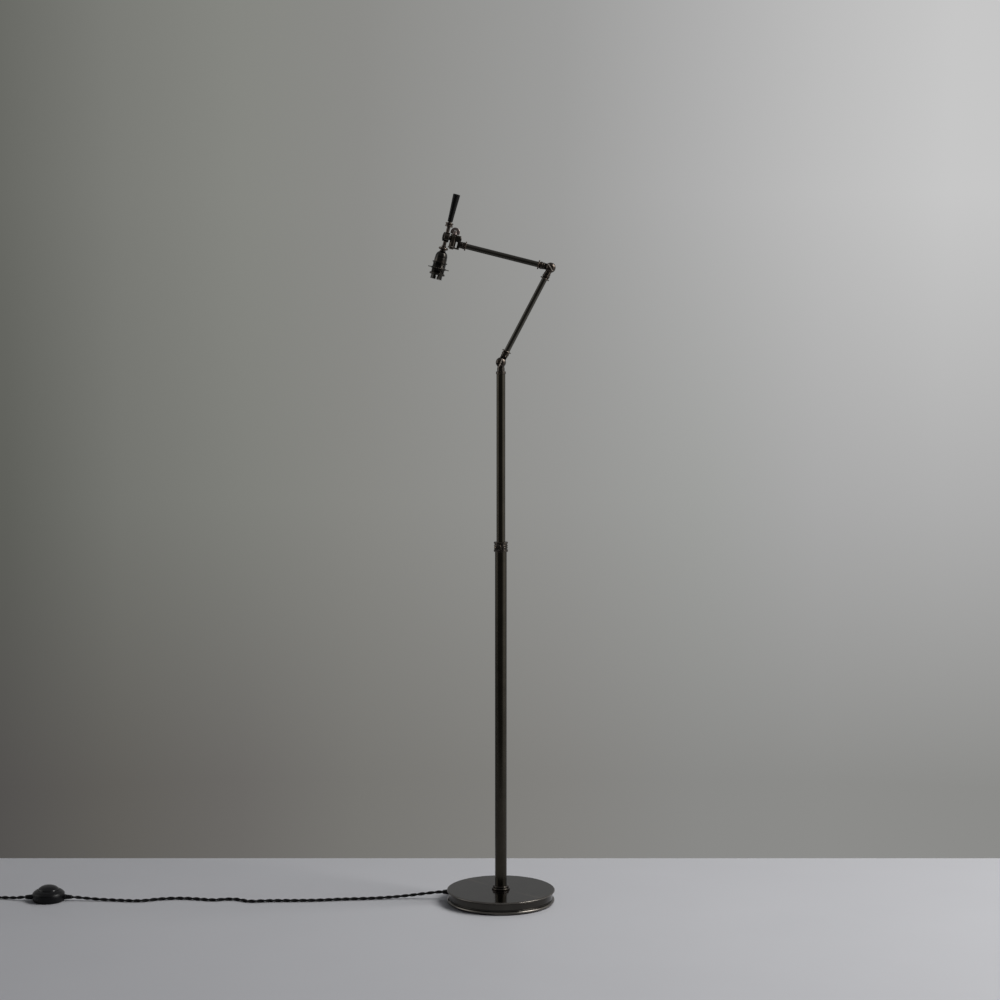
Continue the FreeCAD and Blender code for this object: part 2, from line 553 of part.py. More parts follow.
for turn in (0, 180):
    lane = box((-1.4, 1.4), (5, 20), (82.0, 95))
    hook = box((-1.4, 5.2), (5, 20), (82.0, 84.8))
    ell = fuse(lane, hook)
    ell.Placement = frame(axis=(0, 0, 1), angle=turn)
    doc.recompute()
    sleeve = cut(sleeve, ell)
node(sleeve, "bayonet_sleeve", stem_down)
insert = turned([(0, 50), (si + 0.2, 50), (si + 0.2, 60.8), (si - 0.6, 61.6), (0, 61.6)])
for side in (-1, 1):
    hole = cylinder(2.0, 12, frame((0, 4.9 * side, 51.8)))
    insert = cut(insert, hole)
node(insert, "lampholder_insert", stem_down)
for name, side in (("plunger_left", -1), ("plunger_right", 1)):
    pin_body = turned([(0, 58), (1.6, 58), (1.95, 58.4), (1.95, 64.6, 2.6), (1.1, 66.2), (0.6, 66.6), (0, 66.6)])
    node(pin_body, name, along(stem_down, y=4.9 * side))
level, srr = S("shade_ring_level"), S("shade_ring_radius")
node(turned([(bo + 0.1, level - 1.9), (bo + 1.7, level - 1.9), (bo + 1.9, level - 0.8), (srr - 0.4, level - 0.8),
             (srr, level - 0.4), (srr, level + 0.4), (srr - 0.4, level + 0.8), (bo + 1.9, level + 0.8),
             (bo + 1.7, level + 1.9), (bo + 0.1, level + 1.9)]), "shade_ring", stem_down)
node(turned([(bo + 0.1, 77.6), (bo + 1.6, 77.6), (bo + 2.25, 78.2), (bo + 2.25, 81.2), (bo + 1.6, 81.9), (bo + 0.1, 81.9)]),
     "lower_shade_ring", stem_down)

# ------------------------------------------------------------------ foot switch on the lead
sx, sy = -N(S("switch_offset")), 6.0
spot = frame((sx, sy, 0))
wr, ww, seam, stop_ = S("switch_radius"), S("switch_wall"), S("switch_seam"), S("switch_top")
lower = turned([
    (0, 0), (wr - 4.0, 0), (wr - 1.6, 1.0), (wr - 0.5, 3.6), (wr, 7.0), (wr, seam - 1.2), (wr - 0.6, seam - 0.4),
    (wr - ww, seam - 0.4), (wr - ww, 4.2), (wr - ww - 1.6, 2.6), (0, 2.6)])
lower = cut(lower, cylinder(4.95, 100, frame((-50, 0, 8.5), (0, 1, 0), 90)))
node(lower, "switch_base", spot)
br_ = S("button_radius")
upper = turned([
    (wr - 0.5, seam), (wr - 0.2, seam + 0.6, 15.0), (wr - 3.6, seam + 4.6, 14.0), (br_ + 1.4, seam + 8.1),
    (br_ + 0.5, seam + 7.8), (br_ + 0.5, seam + 6.4), (wr - 6.4, seam + 3.6), (wr - ww - 0.8, seam)])
node(upper, "switch_cover", spot)
button = turned([
    (0, 19.2), (4.0, 19.2), (4.0, 31.4), (14.6, 29.2, -34), (br_ - 2.6, 25.2), (br_ - 2.6, 20.8), (br_ + 1.0, 20.8), (br_ + 1.0, 22.3),
    (br_, 22.7), (br_, 25.4), (br_ - 0.7, 26.8, 24), (12.0, 33.2, 50), (2.0, stop_), (0, stop_)])
node(button, "switch_button", spot)
module = fuse(box((-13, 13), (-9, 9), (2.7, 12.8)), cylinder(3.0, 2.2, frame((0, 0, 12.6))))
node(module, "switch_module", spot)


def switch_gland(side):
    g = turned([(S("cord_radius") + 0.1, 27.6), (5.7, 27.6), (5.7, 30.3), (4.9, 30.3), (4.9, 34.7), (5.7, 34.8), (5.7, 37.0),
                (4.4, 46.0), (S("cord_radius") + 0.1, 46.0)])
    g.Placement = frame((0, 0, 8.5), (0, 1, 0), 90 * side)
    return g


node(compound(switch_gland(1), switch_gland(-1)), "switch_glands", spot)

# ------------------------------------------------------------------ mains lead
def lead(points, radius, label):
    """Straight runs joined by tangent arcs along points, swept as a round cord."""
    pts = [V3(*p) for p in points]
    edges, start, report = [], pts[0], []
    for i in range(1, len(pts) - 1):
        a, b, c = pts[i - 1], pts[i], pts[i + 1]
        into, out = (b - a), (c - b)
        short = min(into.Length, out.Length)
        into, out = into.normalize(), out.normalize()
        turn = math.acos(max(-1.0, min(1.0, into.dot(out))))
        setback = 0.45 * short
        bend = setback / math.tan(turn / 2)
        p, q = b - into * setback, b + out * setback
        mid_dir = (out - into).normalize()
        centre = b + mid_dir * (bend / math.cos(turn / 2))
        m = centre - mid_dir * bend
        edges.append(Part.LineSegment(start, p).toShape())
        edges.append(Part.Arc(p, m, q).toShape())
        report.append(round(bend, 1))
        start = q
    edges.append(Part.LineSegment(start, pts[-1]).toShape())
    path = Part.Wire(edges)
    first = (pts[1] - pts[0]).normalize()
    circle = Part.Wire([Part.Circle(pts[0], first, radius).toShape()])
    solid = path.makePipeShell([circle], True, True)
    length = sum(e.Length for e in edges)
    want = math.pi * radius * radius * length
    print("%s: length %.1f, radii %s, volume %.0f of %.0f" % (label, length, report, solid.Volume, want))
    if abs(solid.Volume - want) > 0.01 * want:
        raise SystemExit(label + ": the swept volume is wrong")
    obj = doc.addObject("Part::Feature", fresh("lead"))
    obj.Shape = solid
    obj.Placement = frame()
    return obj


cord = N(S("cord_radius"))
rest = cord + 0.1
flex = [gland_at(103.5), gland_at(78, 16.9), gland_at(51, 17.1), gland_at(27, 16.6), gland_at(18.5, 12.0), gland_at(14, 6.0)]
node(lead(flex, 2.4, "base_flex"), "base_flex")

RUN_A = [
    gland_at(106.0), gland_at(131.0), (-163, 20.2, 12.4), (-199, 18.6, 7.6), (-241, 16.0, 4.3), (-290, 11.2, rest),
    (-343, 4.6, rest), (-397, -2.4, rest), (-452, -6.2, rest), (-504, -4.4, rest), (-556, 1.4, rest), (-605, 3.8, rest),
    (-651, 9.6, rest), (-693, 12.9, rest), (-738, 9.2, rest), (-786, 3.4, rest), (-833, 1.6, rest), (-874, 3.4, 4.2),
    (-906, 5.4, 6.6), (-926, 6.0, 8.5), (sx + 31.0, sy, 8.5)]
node(lead(RUN_A, cord, "cord_base_run"), "cord_base_run")

kx, ky = -1166.0, -18.0
mean = N(S("coil_mean"))
RUN_B = [
    (sx - 31.0, sy, 8.5), (sx - 52.0, sy, 8.5), (-1048, 10.5, 5.2), (-1073, 17.5, 3.8), (-1101, 23.0, rest),
    (-1128, 25.0, rest), (-1152, 24.6, rest)]
node(lead(RUN_B, cord, "cord_plug_run"), "cord_plug_run")
ch = S("coil_height")
coil = turned([
    (S("coil_mean") - 3.4, 0), (S("coil_mean") + 3.4, 0, 3.8), (S("coil_mean") + 7.2, 3.8), (S("coil_mean") + 7.2, ch - 3.8, 3.8),
    (S("coil_mean") + 3.4, ch), (S("coil_mean") - 3.4, ch, 3.8), (S("coil_mean") - 7.2, ch - 3.8),
    (S("coil_mean") - 7.2, 3.8, 3.8)])
node(coil, "cord_coil", frame((kx, ky, 0)))
RUN_C = [(kx - 10, ky + mean + 3.2, 17.4), (kx - 30, ky + mean + 4.6, 16.0), (kx - 47, ky + mean + 5.0, 11.2),
         (kx - 65, ky + mean + 5.0, 9.0), (kx - 84, ky + mean + 5.0, 9.0)]
node(lead(RUN_C, cord, "cord_plug_tail"), "cord_plug_tail")

band_outer = box((mean - 9.4, mean + 9.4), (-3.2, 3.2), (0.0, N(ch) + 1.6))
band_inner = box((mean - 7.9, mean + 7.9), (-4, 4), (-0.4, N(ch) + 0.4))
tie = cut(band_outer, band_inner)
node(tie, "coil_tie", frame((kx, ky, 0), (0, 0, 1), -40.0))

# ------------------------------------------------------------------ three pin plug, on its back
px, py = kx - 100.0, ky + mean + 5.0
pl, pw, pd = S("plug_length"), S("plug_width"), S("plug_depth")
spot = frame((px, py, 0), (0, 0, 1), 180.0)


def plug_outline(inset):
    h, w = N(pl) / 2 - inset, N(pw) / 2 - inset
    return [(-h, -w * 0.62), (-h + 4, -w * 0.8), (-h + 17, -w, ), (h - 9, -w), (h - 2, -w + 5), (h, -w + 12), (h, w - 12),
            (h - 2, w - 5), (h - 9, w), (-h + 17, w), (-h + 4, w * 0.8), (-h, w * 0.62)]


back = cut(padded(plug_outline(0.6), 0, pd * 0.55 - 0.1), box((-19, 19), (-19, 19), (2.4, 20)))
back = cut(back, cylinder(S("cord_radius") + 0.1, 30, frame((-40, 0, 9.0), (0, 1, 0), 90)))
node(back, "plug_cover", spot)
front = cut(padded(plug_outline(0.0), pd * 0.55, pd), box((-19, 19), (-19, 19), (5, 14.6)))
front = cut(front, box((8.0 - 0.02, 16.02), (-2.02, 2.02), (10, 40)))
front = cut(front, box((-12.22, -8.18), (-14.32, -7.93), (10, 40)), box((-12.22, -8.18), (7.93, 14.32), (10, 40)))
front = cut(front, cylinder(S("cord_radius") + 0.1, 30, frame((-40, 0, 9.0), (0, 1, 0), 90)))
node(front, "plug_base", spot)
node(compound(box((8.0, 16.0), (-2.0, 2.0), (11.0, pd + 22.7)), box((-12.2, -8.2), (-14.3, -7.95), (11.0, pd + 17.7)),
              box((-12.2, -8.2), (7.95, 14.3), (11.0, pd + 17.7))), "plug_pins", spot)

# ------------------------------------------------------------------ check and write
doc.recompute()
for obj in doc.Objects:
    if "Invalid" in obj.State or "Error" in obj.State:
        raise SystemExit("%s (%s) failed: %s" % (obj.Name, obj.Label, obj.State))
    if obj.isDerivedFrom("Sketcher::SketchObject") and (obj.solve() != 0 or not obj.FullyConstrained):
        print("sketch", obj.Name, "solve", obj.solve(), "full", obj.FullyConstrained)
os.makedirs("parts", exist_ok=True)
names = set()
for obj in NODES:
    shape = obj.Shape
    if shape.isNull() or not shape.isValid() or not shape.Solids or obj.Label in names:
        raise SystemExit("bad shape or name: " + obj.Label)
    names.add(obj.Label)
    shape.exportStep("parts/%s.step" % obj.Label)
    b = shape.optimalBoundingBox(False)
    print("%-20s solids %d  vol %9.1f  x %.1f..%.1f y %.1f..%.1f z %.1f..%.1f" % (
        obj.Label, len(shape.Solids), shape.Volume, b.XMin, b.XMax, b.YMin, b.YMax, b.ZMin, b.ZMax))
print(len(NODES), "nodes; pivots", [round(v, 3) for v in P1 + P2 + P3])
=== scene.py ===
import json
import math
import random

import bmesh
import bpy
import numpy as np
from mathutils import Matrix, Vector

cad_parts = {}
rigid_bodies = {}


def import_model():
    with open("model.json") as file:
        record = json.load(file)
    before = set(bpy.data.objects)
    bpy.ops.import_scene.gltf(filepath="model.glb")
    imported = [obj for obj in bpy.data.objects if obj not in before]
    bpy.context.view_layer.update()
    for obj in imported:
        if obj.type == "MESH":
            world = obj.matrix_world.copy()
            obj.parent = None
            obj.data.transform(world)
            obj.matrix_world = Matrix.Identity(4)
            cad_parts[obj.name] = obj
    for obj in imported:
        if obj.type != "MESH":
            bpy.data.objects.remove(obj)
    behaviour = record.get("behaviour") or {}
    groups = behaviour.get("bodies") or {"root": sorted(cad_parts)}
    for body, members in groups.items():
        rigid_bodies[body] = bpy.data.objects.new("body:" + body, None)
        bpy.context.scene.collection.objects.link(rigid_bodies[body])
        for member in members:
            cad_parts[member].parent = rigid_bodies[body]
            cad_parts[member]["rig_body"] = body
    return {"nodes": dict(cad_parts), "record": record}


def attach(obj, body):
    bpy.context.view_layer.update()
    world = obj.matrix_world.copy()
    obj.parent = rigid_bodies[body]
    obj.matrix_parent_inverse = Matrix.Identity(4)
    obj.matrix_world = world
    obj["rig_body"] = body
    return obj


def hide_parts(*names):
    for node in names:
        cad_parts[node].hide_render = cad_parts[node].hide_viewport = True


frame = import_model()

random.seed(7)
SC = bpy.context.scene
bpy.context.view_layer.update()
NODES = frame["nodes"]
SLOT_OF = {s["node"]: s["material_slot"] for s in frame["record"]["subparts"]}


def body_of(node):
    return NODES[node]["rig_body"]


# ---------------------------------------------------------------- camera
def make_camera():
    cam = bpy.data.cameras.new("view_camera")
    obj = bpy.data.objects.new("view_camera", cam)
    SC.collection.objects.link(obj)
    cam.sensor_width = 36.0
    cam.lens = 75.384
    cam.clip_start, cam.clip_end = 0.05, 60
    cam.dof.use_dof = False
    obj.location = (-0.0019, -4.4475, 1.2057)
    obj.rotation_euler = (math.radians(90 - 4.315), 0, 0)
    SC.camera = obj


make_camera()

# ---------------------------------------------------------------- the mains lead
CORD_R = 0.0035
REST = 0.0036
GD = math.radians(172.0)


def gland_at(reach, level=0.017):
    return (math.cos(GD) * reach, math.sin(GD) * reach, level)


SX, SY = -0.9785, 0.006
KX, KY, KM = -1.166, -0.018, 0.0395

RUN_A = [
    gland_at(0.106), gland_at(0.131), (-0.163, 0.0202, 0.0124), (-0.199, 0.0215, 0.0076), (-0.241, 0.0185, 0.0043),
    (-0.290, 0.0112, REST), (-0.343, 0.0066, REST), (-0.397, -0.0030, REST), (-0.452, -0.0052, REST),
    (-0.500, -0.0054, REST), (-0.528, -0.0110, REST), (-0.545, -0.0105, REST), (-0.567, 0.0050, REST),
    (-0.590, 0.0085, REST), (-0.618, -0.0020, REST), (-0.651, 0.0072, REST), (-0.693, 0.0155, REST),
    (-0.738, 0.0088, REST), (-0.772, -0.0070, REST), (-0.798, -0.0070, REST), (-0.833, -0.0015, REST),
    (-0.874, 0.0034, 0.0042), (-0.906, 0.0054, 0.0066), (-0.926, 0.006, 0.0085), (SX + 0.031, SY, 0.0085)]

RUN_B = [
    (SX - 0.031, SY, 0.0085), (SX - 0.052, SY, 0.0085), (-1.048, 0.0105, 0.0052), (-1.073, 0.0175, 0.0038),
    (-1.101, 0.023, REST), (-1.128, 0.025, REST)]
RUN_C = [(KX - 0.030, KY + KM + 0.0046, 0.0160), (KX - 0.047, KY + KM + 0.005, 0.0112),
         (KX - 0.065, KY + KM + 0.005, 0.009), (KX - 0.084, KY + KM + 0.005, 0.009)]


def coil_points():
    """Six turns of a neat coil, two across and three high, wound from outside in on each layer and back out."""
    pts = []
    per = 16
    lanes = [(0.0433, 0.0036), (0.0359, 0.0037), (0.0362, 0.0107), (0.0431, 0.0108), (0.0429, 0.0178), (0.0360, 0.0179)]
    wob = random.Random(11)
    total = len(lanes) * per
    for i in range(total + 1):
        turn = i / per
        k = min(int(turn), len(lanes) - 1)
        f = turn - k
        r0, z0 = lanes[k]
        r1, z1 = lanes[min(k + 1, len(lanes) - 1)]
        # each turn keeps its lane and changes over in its last quarter
        s = max(0.0, (f - 0.72) / 0.28)
        s = s * s * (3 - 2 * s)
        if k == len(lanes) - 1:
            r1, z1 = 0.0425, 0.0176
        r = r0 + (r1 - r0) * s + wob.uniform(-0.00025, 0.00025)
        z = z0 + (z1 - z0) * s
        a = math.radians(90) + 2 * math.pi * turn
        pts.append((KX + r * math.cos(a), KY + r * math.sin(a), z))
    return pts


def read_route(points, fineness=12):
    """The points along a smooth NURBS line with the route's points as its control points."""
    cu = bpy.data.curves.new("route", "CURVE")
    cu.dimensions = "3D"
    sp = cu.splines.new("NURBS")
    sp.points.add(len(points) - 1)
    for p, c in zip(sp.points, points):
        p.co = (c[0], c[1], c[2], 1.0)
    sp.order_u = 3
    sp.use_endpoint_u = True
    sp.resolution_u = fineness
    cu.resolution_u = fineness
    ob = bpy.data.objects.new("route", cu)
    me = bpy.data.meshes.new_from_object(ob)
    line = np.array([v.co for v in me.vertices], float).reshape(-1, 3)
    bpy.data.objects.remove(ob)
    bpy.data.meshes.remove(me)
    bpy.data.curves.remove(cu)
    keep = np.concatenate([[True], np.linalg.norm(np.diff(line, axis=0), axis=1) > 1e-7])
    return line[keep]


def even(line, step):
    run = np.concatenate([[0], np.cumsum(np.linalg.norm(np.diff(line, axis=0), axis=1))])
    at = np.linspace(0, run[-1], max(8, int(round(run[-1] / step)) + 1))
    return np.stack([np.interp(at, run, line[:, k]) for k in range(3)], axis=1), at


def frames_along(line):
    """Tangent, side and lift at each point, carried along without twist."""
    t = np.gradient(line, axis=0)
    t /= np.linalg.norm(t, axis=1)[:, None]
    up = np.array([0.0, 0.0, 1.0])
    n = np.cross(up, t[0])
    if np.linalg.norm(n) < 1e-3:
        n = np.cross(np.array([0.0, 1.0, 0.0]), t[0])
    n /= np.linalg.norm(n)
    sides = [n]
    for i in range(1, len(line)):
        n = n - t[i] * float(n @ t[i])
        n /= np.linalg.norm(n)
        sides.append(n)
    sides = np.array(sides)
    return t, sides, np.cross(t, sides)


def new_object(name, verts, faces, uv=None):
    me = bpy.data.meshes.new(name)
    me.from_pydata([tuple(v) for v in verts], [], faces)
    if uv is not None:
        layer = me.uv_layers.new(name="UVMap")
        layer.data.foreach_set("uv", np.asarray(uv, np.float32).ravel())
    me.polygons.foreach_set("use_smooth", [True] * len(me.polygons))
    me.update()
    ob = bpy.data.objects.new(name, me)
    SC.collection.objects.link(ob)
    return ob


def tube_arrays(line, radii, around, first=0, side=None, across=None):
    """Rings round a line, closed at both ends, with a UV whose unit is one trip round the tube."""
    if side is None:
        _, side, across = frames_along(line)
    n = len(line)
    ang = np.arange(around) * 2 * math.pi / around
    radii = np.broadcast_to(np.asarray(radii, float), (n,))
    verts = (line[:, None, :] + radii[:, None, None] * (
        np.cos(ang)[None, :, None] * side[:, None, :] + np.sin(ang)[None, :, None] * across[:, None, :])).reshape(-1, 3)
    run = np.concatenate([[0], np.cumsum(np.linalg.norm(np.diff(line, axis=0), axis=1))])
    turn = run / (2 * math.pi * float(np.median(radii)))
    faces, uv = [], []
    for i in range(n - 1):
        for j in range(around):
            k = (j + 1) % around
            faces.append((first + i * around + j, first + i * around + k, first + (i + 1) * around + k,
                          first + (i + 1) * around + j))
            u0, u1 = j / around, (j + 1) / around
            uv += [(u0, turn[i]), (u1, turn[i]), (u1, turn[i + 1]), (u0, turn[i + 1])]
    faces.append(tuple(first + j for j in reversed(range(around))))
    uv += [(0.5 + 0.1 * math.cos(a), turn[0] + 0.1 * math.sin(a)) for a in reversed(ang)]
    faces.append(tuple(first + (n - 1) * around + j for j in range(around)))
    uv += [(0.5 + 0.1 * math.cos(a), turn[-1] + 0.1 * math.sin(a)) for a in ang]
    return verts, faces, uv


def twisted_lead(name, route, pitch, strand, spread, seed):
    """Two cloth-covered cores twisted about the route."""
    line, at = even(read_route(route), 0.0013)
    t, side, lift = frames_along(line)
    r = random.Random(seed)
    waves = [(r.uniform(0.05, 0.21), r.uniform(0, 6.28), r.uniform(0.5, 1.0)) for _ in range(5)]
    speed = 1 + 0.07 * sum(a * np.sin(2 * math.pi * at / w + p) for w, p, a in waves) / 2
    angle = np.concatenate([[0], np.cumsum(np.diff(at) * (speed[1:] + speed[:-1]) / 2)]) * 2 * math.pi / pitch
    all_v, all_f, all_uv = [], [], []
    for k in range(2):
        a = angle + math.pi * k
        out = np.cos(a)[:, None] * side + np.sin(a)[:, None] * lift
        centre = line + spread * out
        ct = np.gradient(centre, axis=0)
        ct /= np.linalg.norm(ct, axis=1)[:, None]
        s = out - ct * (out * ct).sum(1)[:, None]
        s /= np.linalg.norm(s, axis=1)[:, None]
        puff = strand * (1 + 0.02 * np.sin(2 * math.pi * at / 0.031 + k))
        v, f, uv = tube_arrays(centre, puff, 14, len(all_v) and sum(len(x) for x in all_v), s, np.cross(ct, s))
        all_v.append(v)
        all_f += f
        all_uv += uv
    ob = new_object(name, np.concatenate(all_v), all_f, all_uv)
    return ob, line


LEAD_PITCH, STRAND, SPREAD = 0.0368, 0.00178, 0.00172
lead_a, line_a = twisted_lead("lead_base_to_switch", RUN_A, LEAD_PITCH, STRAND, SPREAD, 3)
lead_b, line_b = twisted_lead("lead_switch_to_plug", RUN_B + coil_points() + RUN_C, LEAD_PITCH, STRAND, SPREAD, 5)
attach(lead_a, "base")
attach(lead_b, "base")
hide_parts("cord_base_run")
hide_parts("cord_plug_run", "cord_coil", "cord_plug_tail")


def length_of(line):
    return float(np.linalg.norm(np.diff(line, axis=0), axis=1).sum())


print("lead lengths", round(length_of(line_a), 4), round(length_of(line_b), 4))


# ---------------------------------------------------------------- turned and cut metal pieces
# Each entry repeats a piece's outline in millimetres, in its own frame, so that it can be made again with
# rounded edges, ribs and threads that the plain solid lacks. A third number is the radius of the arc that
# leaves the point, positive when it bulges to the right of the way along.
def arc_between(a, b, bow):
    radius = abs(bow)
    ax, ay = a
    bx, by = b
    mx, my = (ax + bx) / 2, (ay + by) / 2
    half = math.hypot(bx - ax, by - ay) / 2
    lift = math.sqrt(max(radius * radius - half * half, 0))
    ux, uy = (bx - ax) / (2 * half), (by - ay) / (2 * half)
    lx, ly = -uy, ux
    s = 1 if bow > 0 else -1
    cx, cy = mx + lx * lift * s, my + ly * lift * s
    a0, a1 = math.atan2(ay - cy, ax - cx), math.atan2(by - cy, bx - cx)
    if bow > 0:
        while a1 <= a0:
            a1 += 2 * math.pi
    else:
        while a1 >= a0:
            a1 -= 2 * math.pi
    n = max(2, int(math.ceil(abs(a1 - a0) / math.radians(7))))
    n = min(n, 24)
    return [(cx + radius * math.cos(a0 + (a1 - a0) * i / n), cy + radius * math.sin(a0 + (a1 - a0) * i / n))
            for i in range(1, n)]


def eased(points, fillet, steps=3):
    """The closed outline with arcs worked out and every corner rounded."""
    flat = []
    for i, p in enumerate(points):
        q = points[(i + 1) % len(points)]
        flat.append((p[0], p[1]))
        if len(p) > 2:
            flat += arc_between((p[0], p[1]), (q[0], q[1]), p[2])
    out = []
    n = len(flat)
    for i in range(n):
        a, b, c = Vector(flat[i - 1]), Vector(flat[i]), Vector(flat[(i + 1) % n])
        u, v = a - b, c - b
        lu, lv = u.length, v.length
        if lu < 1e-6 or lv < 1e-6:
            continue
        u /= lu
        v /= lv
        turn = math.pi - math.acos(max(-1, min(1, u.dot(v))))
        if turn < math.radians(16) or b.x < 1e-6 or fillet <= 0:
            out.append((b.x, b.y))
            continue
        d = min(fillet * math.tan(turn / 2) if turn < 2.6 else fillet, 0.42 * lu, 0.42 * lv)
        p, q = b + u * d, b + v * d
        for k in range(steps + 1):
            t = k / steps
            w = p * (1 - t) ** 2 + b * 2 * t * (1 - t) + q * t * t
            out.append((w.x, w.y))
    return out


def spun(outline, seg, ribs=None):
    """A mesh turned about Z. ribs is (count, depth, least radius, low, high) for a coined edge."""
    bm = bmesh.new()
    rings = []
    for r, z in outline:
        if r < 1e-5:
            rings.append([bm.verts.new((0, 0, z))])
        else:
            ring = []
            for j in range(seg):
                a = 2 * math.pi * j / seg
                rr = r
                if ribs and r >= ribs[2] and ribs[3] <= z <= ribs[4]:
                    rr -= ribs[1] * (0.5 - 0.5 * math.cos(ribs[0] * a)) ** 0.7
                ring.append(bm.verts.new((rr * math.cos(a), rr * math.sin(a), z)))
            rings.append(ring)
    m = len(rings)
    for i in range(m):
        a, b = rings[i], rings[(i + 1) % m]
        if len(a) == 1 and len(b) == 1:
            continue
        for j in range(seg):
            k = (j + 1) % seg
            if len(a) == 1:
                bm.faces.new((a[0], b[k], b[j]))
            elif len(b) == 1:
                bm.faces.new((a[j], a[k], b[0]))
            else:
                bm.faces.new((a[j], a[k], b[k], b[j]))
    bmesh.ops.remove_doubles(bm, verts=bm.verts, dist=1e-5)
    bmesh.ops.recalc_face_normals(bm, faces=bm.faces)
    return bm


def bm_to_object(bm, name):
    me = bpy.data.meshes.new(name)
    bm.to_mesh(me)
    bm.free()
    ob = bpy.data.objects.new(name, me)
    SC.collection.objects.link(ob)
    return ob


def combine(a, b, how):
    """a with b joined on, cut away or kept in common; both are used up."""
    mod = a.modifiers.new("bool", "BOOLEAN")
    mod.operation = how
    mod.solver = "EXACT"
    mod.object = b
    dg = bpy.context.evaluated_depsgraph_get()
    me = bpy.data.meshes.new_from_object(a.evaluated_get(dg))
    name = a.name
    for o in (a, b):
        old = o.data
        bpy.data.objects.remove(o)
        bpy.data.meshes.remove(old)
    ob = bpy.data.objects.new(name, me)
    SC.collection.objects.link(ob)
    return ob


def to_matrix(m):
    return Matrix([m[0:4], m[4:8], m[8:12], m[12:16]]) if m else Matrix.Identity(4)


def segments(points):
    r = max(p[0] for p in points)
    return 224 if r > 90 else 144 if r > 30 else 96 if r > 12 else 72 if r > 5 else 48


def made(tree, name, fillet, ribs=None, tool=False, skip_cuts=()):
    kind, m = tree[0], to_matrix(tree[1])
    if kind == "turned":
        pts = tree[2]
        seg = segments(pts)
        if ribs:
            seg = ribs[0] * 6
        ob = bm_to_object(spun(eased(pts, 0 if tool else fillet), seg, ribs), name)
    elif kind == "cyl":
        r, h = tree[2]
        pts = [(0, 0), (r, 0), (r, h), (0, h)]
        ob = bm_to_object(spun(eased(pts, 0 if tool else fillet), segments(pts)), name)
    elif kind == "box":
        bm = bmesh.new()
        bmesh.ops.create_cube(bm, size=1.0)
        sx, sy, sz = tree[2]
        for v in bm.verts:
            v.co = Vector(((v.co.x + 0.5) * sx, (v.co.y + 0.5) * sy, (v.co.z + 0.5) * sz))
        if not tool:
            bmesh.ops.bevel(bm, geom=bm.edges[:], offset=min(fillet, 0.2 * min(sx, sy, sz)), segments=3,
                            affect="EDGES", profile=0.5, clamp_overlap=True)
        bmesh.ops.recalc_face_normals(bm, faces=bm.faces)
        ob = bm_to_object(bm, name)
    elif kind == "cut":
        ob = made(tree[2], name, fillet, ribs, tool, skip_cuts)
        if tree[3][0] not in skip_cuts:
            ob = combine(ob, made(tree[3], name + "_tool", 0, None, True), "DIFFERENCE")
    elif kind == "common":
        ob = combine(made(tree[2], name, fillet, ribs, tool), made(tree[3], name + "_tool", fillet, None, tool), "INTERSECT")
    elif kind == "fuse":
        ob = made(tree[2][0], name, fillet, ribs, tool)
        for k, part in enumerate(tree[2][1:]):
            ob = combine(ob, made(part, name + "_more", fillet, None, tool), "UNION")
    elif kind == "group":
        parts = [made(p, name + "_part", fillet, ribs, tool) for p in tree[2]]
        bm = bmesh.new()
        for p in parts:
            bm.from_mesh(p.data)
            old = p.data
            bpy.data.objects.remove(p)
            bpy.data.meshes.remove(old)
        ob = bm_to_object(bm, name)
    ob.data.transform(m)
    return ob


def settle(ob, angle=38.0):
    """Smooth shading with crisp corners kept, and flat faces that stay flat."""
    me = ob.data
    me.polygons.foreach_set("use_smooth", [True] * len(me.polygons))
    me.set_sharp_from_angle(angle=math.radians(angle))
    me.update()
    mod = ob.modifiers.new("normals", "WEIGHTED_NORMAL")
    mod.keep_sharp = True
    mod.weight = 60
    return ob


MADE = {}


def remake(node, fillet=0.3, ribs=None, skip_cuts=(), angle=38.0, tweak=None):
    tree = SHAPES[node]
    if tweak:
        tree = tweak(tree)
    ob = made(tree, node + "_fine", fillet, ribs, False, skip_cuts)
    ob.data.transform(Matrix.Scale(0.001, 4))
    ob.name = node + "_fine"
    settle(ob, angle)
    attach(ob, body_of(node))
    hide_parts(node)
    MADE[node] = ob
    return ob


